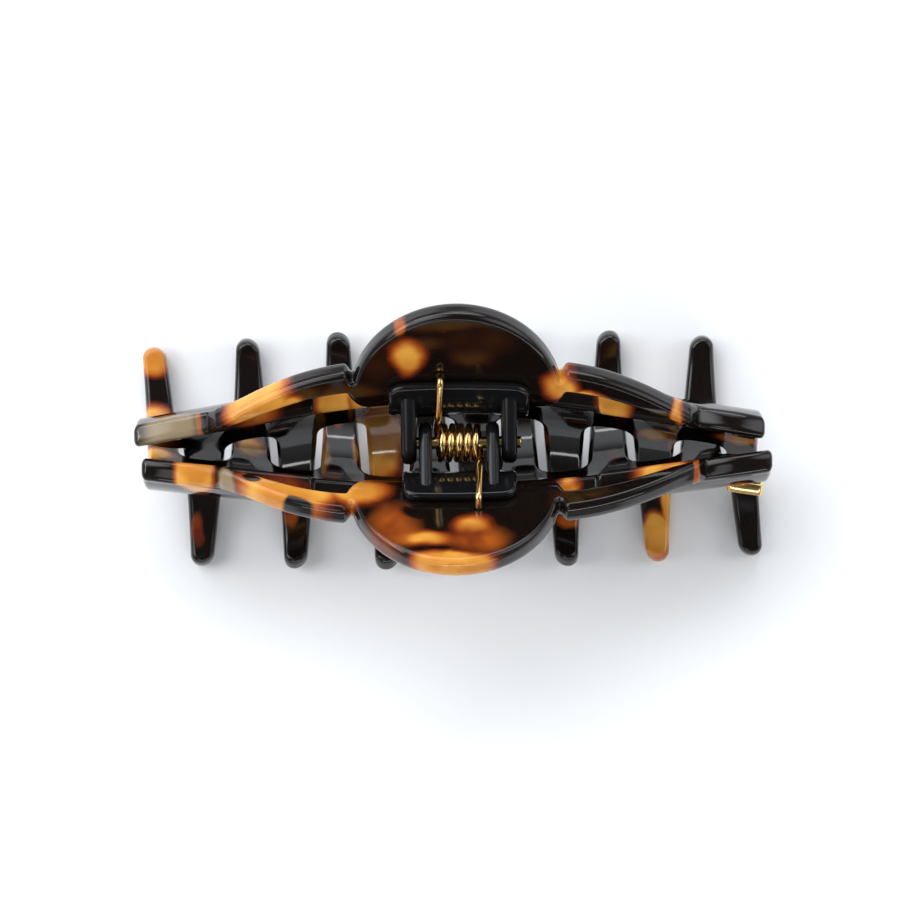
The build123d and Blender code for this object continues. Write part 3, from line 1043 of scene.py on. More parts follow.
# Stretches of a patch's mask over which one colour of the sheet passes into the next
AMBER_FRINGE = (0.0, 0.4)          # from black-brown into red-brown
AMBER_EDGE = (0.25, 0.65)          # on into orange
AMBER_HEART = (0.5, 0.95)          # and into amber or honey
RED_EDGE = (0.2, 0.9)
OLIVE_EDGE = (0.1, 0.9)
DARK_EDGE = (0.2, 0.75)
OLIVE_COVER = 0.9                  # how far clear grey-brown hides what lies under it

# Stretches of the cloud noise inside a patch
HONEY_CLOUD = (0.35, 0.68)         # from amber into honey
RED_CLOUD = (0.25, 0.75)           # from red-brown into orange
GOLD_CLOUD = (0.3, 0.7)            # from deep into pale gold


@dataclass(frozen=True)
class Stir:
    """How noise stirs the sheet's colours: its amount in millimetres, its scale and its seed's offset."""

    amount: float
    scale: float
    seed: float


STIRS = (Stir(3.2, 0.13, 0.0), Stir(0.9, 0.4, 7.0))


@dataclass(frozen=True)
class Polish:
    """How a surface is polished.

    Attributes:
        roughness: its mean roughness.
        swing: how far smears vary that.
        scale: scale of the smears.
        bump: strength of its relief.
        relief: depth of that relief, in metres.
    """

    roughness: float
    swing: float
    scale: float
    bump: float
    relief: float


ACETATE_POLISH = Polish(0.07, 0.05, 0.12, 0.04, 0.0004)
PLASTIC_POLISH = Polish(0.1, 0.06, 260.0, 0.08, 0.0003)
GOLD_POLISH = Polish(0.12, 0.1, 500.0, 0.05, 0.0002)


@dataclass(frozen=True)
class Patch:
    """A patch of colour in the sheet, in the pattern's millimetres.

    Attributes:
        x: its middle along the jaw.
        height: its middle up the sheet.
        reach_x: half its width.
        reach_height: half its height.
        soft: how softly its edge fades, as a share of its reach.
    """

    x: float
    height: float
    reach_x: float
    reach_height: float
    soft: float = 0.45


@dataclass(frozen=True)
class SheetPaint:
    """The colours of one jaw's sheet.

    Attributes:
        name: the material's name.
        seed: seed of its noise.
        amber: patches of honey amber.
        red: patches of dark red.
        olive: patches of clear grey-brown.
        dark: dark spots on top of the rest.
    """

    name: str
    seed: float
    amber: Sequence[Patch] = ()
    red: Sequence[Patch] = ()
    olive: Sequence[Patch] = ()
    dark: Sequence[Patch] = ()


BACK_PAINT = SheetPaint(
    "tortoiseshell_back", 3.0,
    amber=(
        Patch(-29.8, 5.5, 5.2, 4.6, 0.6), Patch(-24.8, 4.6, 2.0, 1.6, 0.8),
        Patch(-6.3, 11.6, 2.4, 3.4, 1.0), Patch(17.2, 6.0, 2.8, 2.8, 0.9),
        Patch(21.5, 4.6, 2.8, 1.4, 0.9), Patch(-18.4, -0.8, 3.2, 1.3, 0.7),
        Patch(-12.0, -1.5, 4.0, 2.4, 0.8), Patch(25.5, 0.3, 2.9, 1.3, 0.8),
        Patch(35.8, 3.0, 0.9, 2.6, 0.9), Patch(-11.2, -23.0, 4.4, 9.0),
        Patch(32.5, -17.5, 2.4, 2.0, 0.9), Patch(-25.0, -8.0, 5.4, 2.4, 0.9),
        Patch(5.0, -9.0, 6.4, 2.0, 1.0), Patch(31.0, -8.4, 4.6, 2.6, 0.9),
        Patch(-43.0, -8.0, 3.0, 2.0, 1.0), Patch(16.0, -7.0, 2.2, 1.4, 1.2),
        Patch(44.5, -6.6, 2.4, 1.6, 1.2), Patch(46.0, -14.8, 3.6, 1.6, 0.9),
        Patch(33.2, -38.0, 2.6, 4.0), Patch(34.9, -32.0, 1.0, 6.0, 0.9),
    ),
    red=(
        Patch(-7.6, 17.2, 0.9, 1.0, 1.4), Patch(19.2, -38.6, 1.9, 1.4, 0.9),
        Patch(13.4, -23.0, 2.6, 3.0, 0.9), Patch(-40.6, -34.5, 0.9, 3.2, 0.9),
        Patch(-25.6, -35.0, 1.2, 2.6, 0.9), Patch(35.6, -19.5, 0.9, 2.2, 0.9),
        Patch(-38.7, 1.0, 0.4, 3.0, 0.9),
    ),
    olive=(
        Patch(-43.4, 1.0, 4.4, 3.6, 0.8),
    ),
)
FRONT_PAINT = SheetPaint(
    "tortoiseshell_front", 11.0,
    amber=(
        Patch(41.0, 1.5, 3.3, 5.4), Patch(26.5, 4.8, 7.6, 3.8, 0.6), Patch(16.0, 4.2, 4.4, 3.0, 1.0),
        Patch(5.5, 14.8, 3.6, 1.6, 1.2), Patch(-2.0, 11.8, 2.6, 2.2, 1.2),
        Patch(1.0, 19.4, 7.6, 1.4, 1.0), Patch(-17.4, 0.0, 2.8, 1.4, 0.7),
        Patch(-32.5, 0.6, 4.2, 1.2, 0.9), Patch(-29.0, -8.6, 5.0, 2.2, 0.9),
        Patch(-4.0, -8.4, 5.6, 2.4, 0.9), Patch(21.0, -9.0, 5.4, 2.0, 1.0),
        Patch(-44.0, -7.0, 2.6, 1.8, 1.2), Patch(8.5, -6.4, 2.4, 1.4, 1.2),
        Patch(36.0, -8.0, 2.6, 1.8, 1.2), Patch(48.7, -38.5, 3.2, 3.0, 0.8),
        Patch(48.6, -27.6, 2.4, 2.4, 1.0), Patch(48.4, -17.6, 3.4, 2.0, 0.9),
        Patch(32.5, -22.5, 2.0, 2.4, 0.9), Patch(21.5, -22.5, 0.8, 6.0, 0.9),
        Patch(16.0, -24.0, 0.6, 3.0, 0.9),
    ),
    red=(
        Patch(18.8, -34.0, 1.4, 5.0, 0.9), Patch(-25.4, -21.0, 1.4, 2.0, 0.9),
        Patch(10.0, 12.0, 4.0, 4.6, 1.3), Patch(-2.5, 14.8, 5.0, 3.0, 1.4),
        Patch(-37.4, 2.0, 0.5, 3.0, 0.9),
    ),
    olive=(
        Patch(36.0, 3.5, 1.2, 2.0, 0.9),
    ),
    dark=(
        Patch(32.2, 3.6, 1.5, 0.6, 0.9), Patch(24.6, 7.8, 2.2, 1.0, 0.9),
        Patch(5.5, 8.6, 3.4, 1.4, 0.9),
    ),
)


class Finishes:
    """Every material of the clip and its stage."""

    def __init__(self) -> None:
        """Build the groups that the materials share."""
        self.patch_tree = patch_group()
        self.stir_tree = stir_group()
        self.polish_tree = polish_group()

    @staticmethod
    def _start(name: str, **inputs: Any) -> Tuple[bpy.types.Material, Nodes, bpy.types.Node]:
        """Start a material.

        Args:
            name: its name.
            **inputs: plain inputs of its Principled shader.

        Returns:
            The material, its nodes and its Principled shader.
        """
        material = bpy.data.materials.new(name)
        material.use_nodes = True
        n = Nodes(material.node_tree)
        out = n.add("ShaderNodeOutputMaterial")
        shader = n.add("ShaderNodeBsdfPrincipled", **inputs)
        n.feed(out, "Surface", shader.outputs["BSDF"])
        return material, n, shader

    @staticmethod
    def _group(n: Nodes, tree: bpy.types.NodeTree, **inputs: Any) -> bpy.types.Node:
        """Add a group node and feed it."""
        return n.add("ShaderNodeGroup", {"node_tree": tree}, **inputs)

    def _mask(self, n: Nodes, place: bpy.types.NodeSocket, patches: Iterable[Patch]) -> Any:
        """The largest of several patches' masks.

        Args:
            n: the material's nodes.
            place: the place in the pattern.
            patches: the patches.

        Returns:
            The mask's socket, or 0 without patches.
        """
        mask = 0.0
        for patch in patches:
            reach = (patch.reach_x, patch.reach_height, PATCH_DEPTH)
            node = self._group(n, self.patch_tree, Vector=place, Centre=(patch.x, patch.height, 0),
                               Reach=reach, Soft=patch.soft, Before=mask)
            mask = node.outputs["Mask"]
        return mask

    def _polish(self, n: Nodes, shader: bpy.types.Node, place: bpy.types.NodeSocket, polish: Polish) -> None:
        """Feed a shader's roughness and normal.

        Args:
            n: the material's nodes.
            shader: its Principled shader.
            place: the coordinates that the smears follow.
            polish: how it is polished.
        """
        smears = self._group(n, self.polish_tree, Vector=place, Base=polish.roughness,
                             Spread=polish.swing, Scale=polish.scale)
        relief = n.add("ShaderNodeBump", Strength=polish.bump, Distance=polish.relief,
                       Height=smears.outputs["Height"])
        n.feed(shader, "Roughness", smears.outputs["Roughness"])
        n.feed(shader, "Normal", relief.outputs["Normal"])

    def acetate(self, paint: SheetPaint) -> bpy.types.Material:
        """Polished tortoiseshell: amber and red patches stirred into a nearly black sheet.

        Args:
            paint: where its colours lie.

        Returns:
            The material.
        """
        material, n, shader = self._start(
            paint.name, IOR=1.5, Coat_Weight=0.1, Coat_Roughness=0.03, Subsurface_Weight=0.3,
            Subsurface_Radius=(1.0, 0.4, 0.12), Subsurface_Scale=0.0012,
        )
        place = n.add("ShaderNodeAttribute", {"attribute_name": "pattern"}).outputs["Vector"]
        stirred = place
        for stir in STIRS:
            node = self._group(n, self.stir_tree, Vector=stirred, Amount=stir.amount, Scale=stir.scale,
                               Seed=paint.seed + stir.seed)
            stirred = node.outputs["Vector"]
        amber, red, olive, dark = (
            self._mask(n, stirred, patches) for patches in (paint.amber, paint.red, paint.olive, paint.dark)
        )
        cloud = n.noise(Vector=stirred, Scale=0.16, Detail=2.0, Roughness=0.45)
        honey = n.mix(n.spread(cloud, *HONEY_CLOUD), AMBER, HONEY)
        ember = n.mix(n.spread(cloud, *RED_CLOUD), RED_BROWN, ORANGE)
        clear = n.math("MULTIPLY", n.spread(olive, *OLIVE_EDGE), OLIVE_COVER)
        body = n.mix(n.spread(amber, *AMBER_FRINGE), BLACK_BROWN, RED_BROWN)
        body = n.mix(n.spread(amber, *AMBER_EDGE), body, ORANGE)
        body = n.mix(n.spread(amber, *AMBER_HEART), body, honey)
        body = n.mix(n.spread(red, *RED_EDGE), body, ember)
        body = n.mix(clear, body, OLIVE)
        body = n.mix(n.spread(dark, *DARK_EDGE), body, BLACK_BROWN)
        n.feed(shader, "Base Color", body)
        self._polish(n, shader, place, ACETATE_POLISH)
        return material

    def black_plastic(self) -> bpy.types.Material:
        """Glossy black moulding."""
        material, n, shader = self._start("black_moulding", Base_Color=BLACK_PLASTIC, IOR=1.52)
        place = n.add("ShaderNodeTexCoord").outputs["Object"]
        self._polish(n, shader, place, PLASTIC_POLISH)
        return material

    def gold(self) -> bpy.types.Material:
        """Polished gold plating on wire, pin and band."""
        material, n, shader = self._start("gold_plating", Metallic=1.0)
        place = n.add("ShaderNodeTexCoord").outputs["Object"]
        cloud = n.noise(Vector=place, Scale=350.0, Detail=2.0)
        n.feed(shader, "Base Color", n.mix(n.spread(cloud, *GOLD_CLOUD), DEEP_GOLD, PALE_GOLD))
        self._polish(n, shader, place, GOLD_POLISH)
        return material

    def paper(self) -> bpy.types.Material:
        """Matt pale studio paper."""
        material, n, shader = self._start("studio_paper", Base_Color=PAPER, Roughness=0.75)
        place = n.add("ShaderNodeTexCoord").outputs["Object"]
        grain = n.noise(Vector=place, Scale=900.0, Detail=4.0, Roughness=0.6)
        relief = n.add("ShaderNodeBump", Strength=0.12, Distance=0.0002, Height=grain)
        n.feed(shader, "Normal", relief.outputs["Normal"])
        return material


# Pieces


def join(piece: bpy.types.Object, body: Body, slot: Slot, node: str = "") -> None:
    """Put a piece on its body.

    Args:
        piece: the piece.
        body: the body that it moves with.
        slot: its material slot; not used.
        node: the CAD node that it stands for, if it does.
    """
    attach(piece, body.value)
    if node:
        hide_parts(node)


def filleted(points: Sequence[Vector], radii: Sequence[float], steps: int) -> List[Vector]:
    """A path through points, its inner corners rounded.

    Args:
        points: the path's corners and ends.
        radii: rounding of each inner corner.
        steps: segments of each rounding.

    Returns:
        The points in order.
    """
    path = [points[0]]
    for before, corner, after, radius in zip(points, points[1:], points[2:], radii):
        back, on = before - corner, after - corner
        cut = radius * math.tan((math.pi - back.angle(on)) / 2)
        start, end = corner + back.normalized() * cut, corner + on.normalized() * cut
        for k in range(steps + 1):
            t = k / steps
            path.append(start * (1 - t) ** 2 + corner * 2 * t * (1 - t) + end * t * t)
    path.append(points[-1])
    return path


# Rounded end of a wire: share of its radius, and how far past the end in radii
WIRE_CAP = ((0.0, 0.5), (0.6, 0.4), (0.9, 0.2))


def tube(bm: bmesh.types.BMesh, path: Sequence[Vector], radius: float, sides: int = 20) -> None:
    """Add a round wire along a path, with rounded ends.

    Args:
        bm: the mesh.
        path: the wire's middle line, in metres.
        radius: its radius, in metres.
        sides: corners of its section.
    """
    last = len(path) - 1
    tangents = [(path[min(k + 1, last)] - path[max(k - 1, 0)]).normalized() for k in range(last + 1)]
    stations = [(0, size, -past) for size, past in WIRE_CAP]
    stations += [(k, 1.0, 0.0) for k in range(last + 1)]
    stations += [(last, size, past) for size, past in WIRE_CAP[::-1]]
    normal = tangents[0].orthogonal().normalized()
    angles = [math.tau * j / sides for j in range(sides)]
    rings = []
    for k, size, past in stations:
        tangent = tangents[k]
        normal = (normal - tangent * normal.dot(tangent)).normalized()
        other = tangent.cross(normal)
        centre = path[k] + tangent * radius * past
        outs = [normal * math.cos(angle) + other * math.sin(angle) for angle in angles] if size else [normal]
        rings.append([bm.verts.new(centre + out * radius * size) for out in outs])
    bridge(bm, rings)


@dataclass(frozen=True)
class Spring:
    """The torsion spring: a left-handed coil, and two legs that turn into the thumb plates."""

    name: str = "spring_wire"
    wire: float = 1.05
    coil_radius: float = 2.6        # at the middle of the wire
    coil_pitch: float = 1.3
    coil_turns: int = 5             # whole turns, to which the legs add a part of one
    coil_points: int = 40           # points along each turn
    leg_start: float = math.radians(-10.0)   # angle round the pin at which a leg leaves the coil
    leg_rise: float = 5.4           # straight run of a leg up from the coil
    leg_bend: float = 2.5           # bend radius part way up a leg
    leg_gap: float = 0.1            # between a leg and the bracket's rim
    leg_past_rim: float = 1.3       # how far a leg runs on past the rim before it turns in
    leg_hook: float = 0.9           # bend radius where it turns into the thumb plate
    leg_drift: float = 0.7          # how far a leg leans along the pin
    leg_steps: int = 9              # segments of a leg's bends
    hole_depth: float = 2.0
    hole_gap: float = 0.2           # clearance of a leg in its hole, round it and at its end

    @property
    def coil_length(self) -> float:
        """Length of the coil along the pin, at the middle of the wire."""
        return self.coil_pitch * (self.coil_turns + 0.5 + self.leg_start / math.pi)

    def leg_corners(self) -> Tuple[List[Point], float]:
        """Where a leg turns, in its own plane.

        Returns:
            Out and up of its corners, and the pattern height at which it enters its plate.
        """
        cos, sin = math.cos(self.leg_start), math.sin(self.leg_start)
        foot = (self.coil_radius * cos, self.coil_radius * sin)
        knee = (foot[0] - self.leg_rise * sin, foot[1] + self.leg_rise * cos)
        rim = section(BRACKET_TOP, BRACKET_FACE + self.leg_gap + self.wire / 2)
        run = (rim[0] - knee[0], rim[1] - knee[1])
        share = 1 + self.leg_past_rim / math.hypot(*run)
        hook = (knee[0] + run[0] * share, knee[1] + run[1] * share)
        out, up, _ = section(FLARE_START)
        height = FLARE_START + (hook[0] - out) * math.sin(FLARE) + (hook[1] - up) * math.cos(FLARE)
        depth = self.hole_depth - self.hole_gap - SHEET / 2
        return [foot, knee, hook, section(height, -depth)[:2]], height

    def hole(self, hinge_x: float) -> Dimple:
        """The blind hole for a leg, in a jaw whose pattern has the hinge's middle at a given x."""
        centre = (hinge_x - self.coil_length / 2 + self.leg_drift, self.leg_corners()[1])
        return Dimple(centre, self.wire / 2 + self.hole_gap, self.hole_depth)

    def path(self) -> List[Vector]:
        """Middle line of the wire, in metres."""
        start = -self.coil_length / 2
        leans = (0, self.leg_drift / 2, self.leg_drift, self.leg_drift)
        corners = [Vector((start + lean, *corner)) for lean, corner in zip(leans, self.leg_corners()[0])]
        leg = filleted(corners, (self.leg_bend, self.leg_hook), self.leg_steps)
        turns = self.coil_length / self.coil_pitch
        count = int(turns * self.coil_points)
        coil = []
        for k in range(1, count):
            angle = self.leg_start - math.tau * turns * k / count
            around = (self.coil_radius * math.cos(angle), self.coil_radius * math.sin(angle))
            coil.append(Vector((start + self.coil_length * k / count, *around)))
        other = [Vector((-p.x, -p.y, p.z)) for p in leg]
        return [from_pin(*p) for p in leg[::-1] + coil + other]

    def build(self, material: bpy.types.Material) -> bpy.types.Object:
        """Build the wire in place and hide the CAD spring.

        Args:
            material: its material.

        Returns:
            The spring.
        """
        bm = bmesh.new()
        tube(bm, self.path(), self.wire / 2 * MM)
        obj = finished(self.name, bm, material)
        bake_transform(obj)
        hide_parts("spring")
        return obj


# Turned ends of the pin: distance in from the end face and radius there, each towards the middle line
PIN_HIDDEN_END = ((0.05, 0.8), (0.0, 0.7), (0.0, 0.0))
PIN_SHOWN_END = ((0.09, 0.88), (0.02, 0.76), (0.0, 0.66), (0.02, 0.5), (0.03, 0.0))


@dataclass(frozen=True)
class Pin:
    """The hinge pin, a turned rod in one blind bore and three open ones.

    Attributes:
        reach: from its middle to the outer faces of the outer arms.
    """

    reach: float
    radius: float = 0.95
    blind_wall: float = 0.7         # wall that closes the blind bore
    clearance: float = 0.05         # between that wall and the pin's hidden end
    proud: float = 0.7              # how far the shown end stands out of the last arm
    bevel: float = 0.2              # distance from either end at which the full radius starts
    support: float = 0.3            # distance at which a loop keeps the rod straight
    sides: int = 40
    name: str = "pin_rod"

    def build(self, material: bpy.types.Material) -> bpy.types.Object:
        """Spin the pin's profile round its axis.

        Args:
            material: its material.

        Returns:
            The pin.
        """
        start = -self.reach + self.blind_wall + self.clearance
        end = self.reach + self.proud
        line = [(start + d, radius) for d, radius in PIN_HIDDEN_END[::-1]]
        line += [(start + d, self.radius) for d in (self.bevel, self.support)]
        line += [(end - d, self.radius) for d in (self.support, self.bevel)]
        line += [(end - d, radius) for d, radius in PIN_SHOWN_END]
        bm = bmesh.new()
        verts = [bm.verts.new(from_pin(x, radius, 0)) for x, radius in line]
        edges = [bm.edges.new(pair) for pair in zip(verts, verts[1:])]
        bmesh.ops.spin(bm, geom=verts + edges, cent=from_pin(0, 0, 0), axis=(1, 0, 0), dvec=(0, 0, 0),
                       angle=math.tau, steps=self.sides, use_merge=True, use_duplicate=False)
        bmesh.ops.remove_doubles(bm, verts=bm.verts[:], dist=EPSILON)
        obj = finished(self.name, bm, material)
        join(obj, Body.FRONT, Slot.GOLD, "hinge_pin")
        return obj


@dataclass(frozen=True)
class Bracket:
    """A hinge bracket: a plate that follows the sheet and two arms that hold the pin.

    Attributes:
        name: base of its pieces' names.
        body: the body that it moves with.
        node: the CAD node that it stands for.
        bend: the bend of its jaw.
        half: half width of its plate.
        arm_inner: from the middle to an arm's inner side.
        arm: an arm's thickness.
    """

    name: str
    body: Body
    node: str
    bend: Bend
    half: float
    arm_inner: float
    arm: float
    bottom: float = -2.6            # height of the plate's bottom edge along the sheet
    plate_round: float = 2.4        # rounding of the plate's corners
    plate_rim: float = 0.6          # rounding of its rims
    arm_top: float = 6.0            # heights between which an arm leaves its plate
    arm_bottom: float = -2.2
    knuckle: float = 3.3            # outer radius of an arm round the pin
    knuckle_steps: int = 26
    arm_round: float = 0.95         # rounding of an arm's edges
    arm_segments: int = 6
    arm_crease: float = math.radians(35)   # edges that turn more than this stay sharp

    def plate(self, material: bpy.types.Material) -> bpy.types.Object:
        """The plate with its rounded corners."""
        left, right = self.bend.hinge_x - self.half, self.bend.hinge_x + self.half
        corners = [(left, BRACKET_TOP), (left, self.bottom), (right, self.bottom), (right, BRACKET_TOP)]
        runs = [straight(one, two) for one, two in zip(corners, corners[1:] + corners[:1])]
        outline = rounded_loop(runs, [self.plate_round] * len(runs))
        plate = BentPlate(f"{self.name}_plate", self.bend, outline, thickness=BRACKET,
                          offset=BRACKET_MIDDLE, rounding=self.plate_rim, depth=self.plate_rim)
        return plate.build(material)

    def arm_outline(self, x: float) -> Loop:
        """Side view of an arm.

        Args:
            x: place of the arm's middle in the pattern.

        Returns:
            Out and up from the pin, round the arm.
        """
        foot = []
        for height in (self.arm_bottom, (self.arm_top + self.arm_bottom) / 2, self.arm_top):
            out, up, _ = section(height, BRACKET_MIDDLE)
            foot.append((self.bend.bow(x, out), up))

        def touch(point: Point, hand: int) -> float:
            """Angle at which the line from a point touches the knuckle."""
            return math.atan2(point[1], point[0]) + hand * math.acos(self.knuckle / math.hypot(*point))

        first, last = touch(foot[-1], 1), touch(foot[0], -1) + math.tau
        steps = self.knuckle_steps
        angles = [first + (last - first) * k / steps for k in range(steps + 1)]
        return foot + [(self.knuckle * math.cos(angle), self.knuckle * math.sin(angle)) for angle in angles]

    def arm_piece(self, side: int, material: bpy.types.Material) -> bpy.types.Object:
        """One arm, its edges rounded.

        Args:
            side: -1 for the left arm, 1 for the right.
            material: its material.

        Returns:
            The arm.
        """
        bm = bmesh.new()
        low = self.bend.hinge_x + (self.arm_inner if side > 0 else -self.arm_inner - self.arm)
        outline = self.arm_outline(low + self.arm / 2)
        face = bm.faces.new([bm.verts.new(self.bend.stand(low, out, up)) for out, up in outline])
        made = bmesh.ops.extrude_face_region(bm, geom=[face])
        moved = [item for item in made["geom"] if isinstance(item, bmesh.types.BMVert)]
        along = self.bend.stand(low + self.arm, 0, 0) - self.bend.stand(low, 0, 0)
        bmesh.ops.translate(bm, verts=moved, vec=along)
        bmesh.ops.recalc_face_normals(bm, faces=bm.faces[:])
        rims = [edge for edge in bm.edges if abs(edge.verts[0].co.x - edge.verts[1].co.x) < EPSILON]
        bmesh.ops.bevel(bm, geom=rims, offset=self.arm_round * MM, offset_type="OFFSET", affect="EDGES",
                        segments=self.arm_segments, profile=0.5, material=-1, clamp_overlap=True)
        obj = finished(f"{self.name}_arm_{'right' if side > 0 else 'left'}", bm, material)
        obj.data.set_sharp_from_angle(angle=self.arm_crease)
        return obj

    def build(self, material: bpy.types.Material) -> None:
        """Build the bracket and put it on its body."""
        join(self.plate(material), self.body, Slot.BLACK, self.node)
        for side in (-1, 1):
            join(self.arm_piece(side, material), self.body, Slot.BLACK)


@dataclass(frozen=True)
class ToothBand:
    """The plain sleeve round the back jaw's last tooth.

    Attributes:
        pattern: the pattern of the back jaw.
    """

    pattern: JawPattern
    wall: float = 0.45
    gap: float = 0.2                # between the band and the tooth
    width: float = 2.3
    height: float = -26.9           # height of its middle along the tooth
    corner: float = 0.42            # radius of its section's inner corners
    corner_steps: int = 4
    soft: float = 0.14              # rounding of its edges
    soft_share: float = 0.3         # share of that at the middle of the rounding
    name: str = "tooth_band_sleeve"

    def build(self, material: bpy.types.Material) -> bpy.types.Object:
        """Carry the sleeve's small section round the tooth.

        Args:
            material: its material.

        Returns:
            The band.
        """
        tooth = self.pattern.teeth[-1]
        left, right = (self.pattern.side_at(tooth, hand, self.height) for hand in (-1, 1))
        middle = (left + right) / 2
        half_x = (right - left) / 2 + self.gap - self.corner
        half_w = SHEET / 2 + self.gap - self.corner
        ring = []
        for side, face, start in ((1, 1, 0), (-1, 1, 90), (-1, -1, 180), (1, -1, 270)):
            for k in range(self.corner_steps + 1):
                angle = math.radians(start + 90 * k / self.corner_steps)
                ring.append((side * half_x, face * half_w, math.cos(angle), math.sin(angle)))

        soft, low = self.soft, -self.width / 2
        eased = soft * self.soft_share
        cut = [(0.0, low + soft), (eased, low + eased), (soft, low),
               (self.wall - soft, low), (self.wall - eased, low + eased), (self.wall, low + soft)]
        cut += [(out, -up) for out, up in cut[::-1]]
        bm = bmesh.new()
        rows = []
        for x, inward, cos, sin in ring:
            row = []
            for out, up in cut:
                reach = self.corner + out
                place = (middle + x + cos * reach, self.height + up, inward + sin * reach)
                row.append(bm.verts.new(self.pattern.bend.place(*place)))
            rows.append(row)
        bridge(bm, [rows[-1], *rows])
        obj = finished(self.name, bm, material)
        join(obj, Body.BACK, Slot.GOLD, "tooth_band")
        return obj


@dataclass(frozen=True)
class Jaw:
    """One acetate half.

    Attributes:
        name: the piece's name.
        body: the body that it moves with.
        node: the CAD node that it stands for.
        cut: its own sizes.
        bend: how it is bent and where it stands.
        paint: its colours.
    """

    name: str
    body: Body
    node: str
    cut: Cut
    bend: Bend
    paint: SheetPaint

    def build(self, finishes: Finishes, spring: Spring) -> bpy.types.Object:
        """Cut, bend and colour the half.

        Args:
            finishes: the clip's materials.
            spring: the spring, for whose leg it has a hole.

        Returns:
            The half.
        """
        pattern = JawPattern(self.cut)
        windows = (pattern.window(-1), pattern.window(1))
        hole = spring.hole(self.bend.hinge_x)
        plate = BentPlate(self.name, self.bend, pattern.outline(), windows, dimple=hole)
        obj = plate.build(finishes.acetate(self.paint))
        join(obj, self.body, Slot.ACETATE, self.node)
        return obj


@dataclass(frozen=True)
class Clip:
    """The whole clip.

    Attributes:
        finishes: its materials.
    """

    finishes: Finishes
    spring: Spring = Spring()
    back_plate: float = 11.0        # half width of the back bracket's plate
    front_plate: float = 8.9
    back_arm: float = 2.5           # thickness of the back bracket's arms
    front_arm: float = 2.1
    arm_gap: float = 0.3            # between a back arm and the front arm beside it
    coil_room: float = 0.15         # between the coil's ends and the front arms

    def build(self) -> None:
        """Build every piece, and put each one but the spring on its body."""
        back, front = Bend(BACK_CUT.bow), Bend(FRONT_CUT.bow, turned=True)
        for jaw in (
            Jaw("back_half", Body.BACK, "back_jaw", BACK_CUT, back, BACK_PAINT),
            Jaw("front_half", Body.FRONT, "front_jaw", FRONT_CUT, front, FRONT_PAINT),
        ):
            jaw.build(self.finishes, self.spring)

        front_inner = (self.spring.coil_length + self.spring.wire) / 2 + self.coil_room
        back_inner = front_inner + self.front_arm + self.arm_gap
        black = self.finishes.black_plastic()
        Bracket("back_hinge", Body.BACK, "back_bracket", back, self.back_plate, back_inner,
                self.back_arm).build(black)
        Bracket("front_hinge", Body.FRONT, "front_bracket", front, self.front_plate, front_inner,
                self.front_arm).build(black)

        gold = self.finishes.gold()
        self.spring.build(gold)
        Pin(back_inner + self.back_arm).build(gold)
        ToothBand(JawPattern(BACK_CUT)).build(gold)


# Stage

LAMP_TARGET = (0, 0, 0.02)


@dataclass(frozen=True)
class Lamp:
    """A rectangular soft light that looks at the clip.

    Attributes:
        name: its name.
        place: where it hangs, in metres.
        size: width and height, in metres.
        power: watts.
        mirrored: it shows in polished surfaces.
    """

    name: str
    place: Triple
    size: Tuple[float, float]
    power: float
    mirrored: bool = False

    def build(self) -> None:
        """Hang the light."""
        data = bpy.data.lights.new(self.name, "AREA")
        data.shape = "RECTANGLE"
        data.size, data.size_y = self.size
        data.energy = self.power
        obj = bpy.data.objects.new(self.name, data)
        obj.location = self.place
        obj.visible_glossy = self.mirrored
        aim = Vector(LAMP_TARGET) - Vector(self.place)
        obj.rotation_euler = aim.to_track_quat("-Z", "Y").to_euler()
        bpy.context.scene.collection.objects.link(obj)


LAMPS = (
    Lamp("top_softbox", (-0.15, 0.62, 0.80), (0.9, 0.45), 8.0),
    Lamp("left_softbox", (-0.85, 0.05, 0.60), (0.5, 0.9), 6.4),
    Lamp("right_softbox", (0.95, 0.15, 0.55), (0.4, 0.8), 3.2),
    Lamp("front_softbox", (0.1, -0.75, 0.60), (1.0, 0.30), 5.5),
    Lamp("front_line", (0.1, -0.90, 0.42), (1.3, 0.05), 1.6, True),
    Lamp("back_line", (-0.1, 0.90, 0.50), (1.3, 0.05), 1.6, True),
    Lamp("left_line", (-0.95, 0.10, 0.75), (0.9, 0.06), 1.4, True),
)


@dataclass(frozen=True)
class Glow:
    """A soft bright part of the studio's tent.

    Attributes:
        towards: direction in which it is seen.
        edge: cosine of the angle from there at which it ends.
        strength: its brightness in the middle.
    """

    towards: Triple
    edge: float
    strength: float


GLOWS = (
    Glow((-0.60, 0.45, 0.66), 0.80, 2.8),
    Glow((0.75, 0.25, 0.61), 0.84, 1.6),
    Glow((-0.30, -0.55, 0.78), 0.95, 1.2),
    Glow((0.10, 0.90, 0.42), 0.90, 1.6),
)
ZENITH = 0.08                      # brightness of the tent overhead
HORIZON = 0.42                     # and low down
TENT_RISE = (0.05, 0.75)           # heights on the unit sphere between which the one passes into the other
FLOOR_HALF = 2.0                   # half the floor's side, in metres

CAMERA_DISTANCE = 0.75
CAMERA_TILT = math.radians(-2.05)
CAMERA_LEAN = math.radians(0.337)
CAMERA_ROLL = math.radians(0.781)
CAMERA_TARGET = (-0.00052, -0.00112)
CAMERA_LENS = 191.4
CAMERA_SENSOR = 36.0


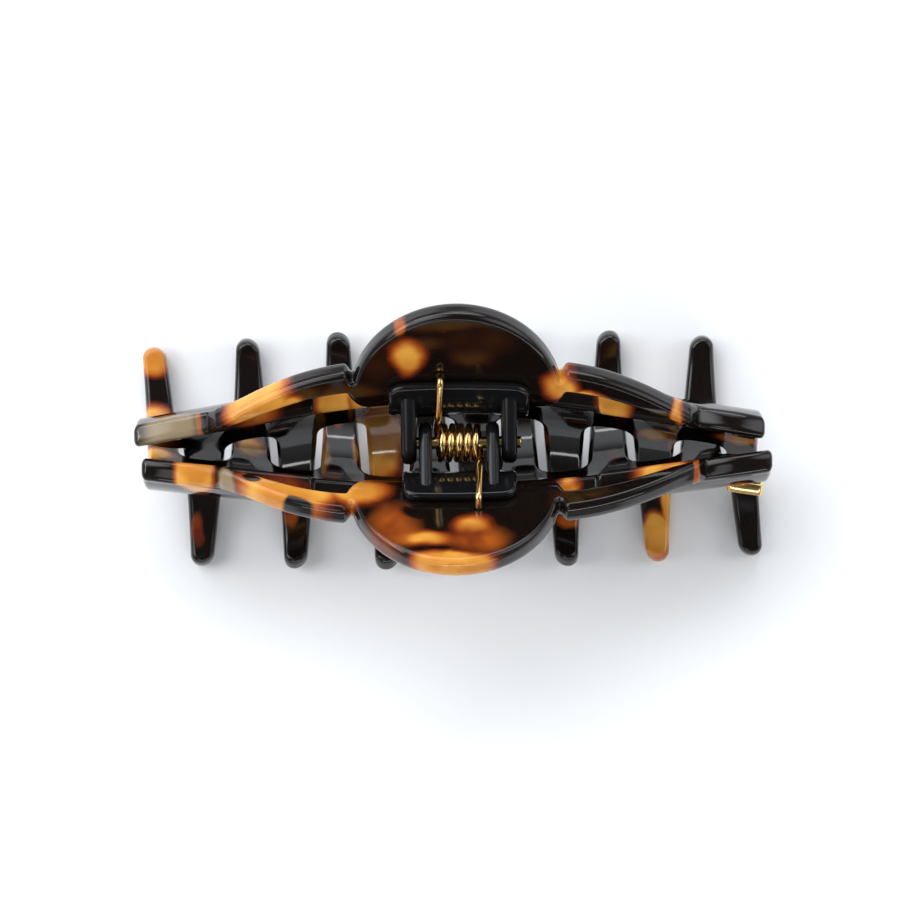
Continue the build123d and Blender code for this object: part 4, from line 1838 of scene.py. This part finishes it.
def build_world() -> None:
    """The tent of soft light round the stage."""
    world = bpy.data.worlds.new("studio")
    world.use_nodes = True
    n = Nodes(world.node_tree)
    out = n.add("ShaderNodeOutputWorld")
    way = n.add("ShaderNodeTexCoord").outputs["Generated"]
    rise = n.add("ShaderNodeSeparateXYZ", Vector=way).outputs["Z"]
    tent = n.math("MULTIPLY_ADD", n.spread(rise, *TENT_RISE), ZENITH - HORIZON, HORIZON)
    for glow in GLOWS:
        near = n.vector("DOT_PRODUCT", way, glow.towards, output="Value")
        tent = n.math("MULTIPLY_ADD", n.spread(near, glow.edge, 1.0), glow.strength, tent)
    back = n.add("ShaderNodeBackground", Color=DAYLIGHT, Strength=tent)
    n.feed(out, "Surface", back.outputs["Background"])
    bpy.context.scene.world = world


def build_stage(finishes: Finishes) -> None:
    """Build floor, lights and world.

    Args:
        finishes: the materials.
    """
    bm = bmesh.new()
    bmesh.ops.create_grid(bm, x_segments=1, y_segments=1, size=FLOOR_HALF)
    floor = finished("studio_floor", bm, finishes.paper())
    floor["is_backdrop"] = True
    for lamp in LAMPS:
        lamp.build()
    build_world()
    bpy.context.scene.view_settings.view_transform = "Standard"


def build_camera() -> None:
    """The camera at the photograph's angle: nearly straight down on the clip."""
    data = bpy.data.cameras.new("camera")
    data.lens = CAMERA_LENS
    data.sensor_width = CAMERA_SENSOR
    data.dof.use_dof = False
    camera = bpy.data.objects.new("camera", data)
    target = Vector((*CAMERA_TARGET, PIN_HEIGHT * MM))
    view = (Matrix.Rotation(CAMERA_ROLL, 3, "Z") @ Matrix.Rotation(CAMERA_TILT, 3, "X")
            @ Matrix.Rotation(CAMERA_LEAN, 3, "Y"))
    basis = view.transposed()
    place = target + basis @ Vector((0, 0, CAMERA_DISTANCE))
    camera.matrix_world = Matrix.Translation(place) @ basis.to_4x4()
    bpy.context.scene.collection.objects.link(camera)
    bpy.context.scene.camera = camera


def main() -> None:
    """Build the clip, its stage and its camera."""
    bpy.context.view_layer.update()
    finishes = Finishes()
    Clip(finishes).build()
    build_stage(finishes)
    build_camera()
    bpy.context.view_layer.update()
    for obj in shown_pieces():
        LOG.info("%s: %d faces", obj.name, len(obj.data.polygons))


if __name__ == "__main__":
    main()
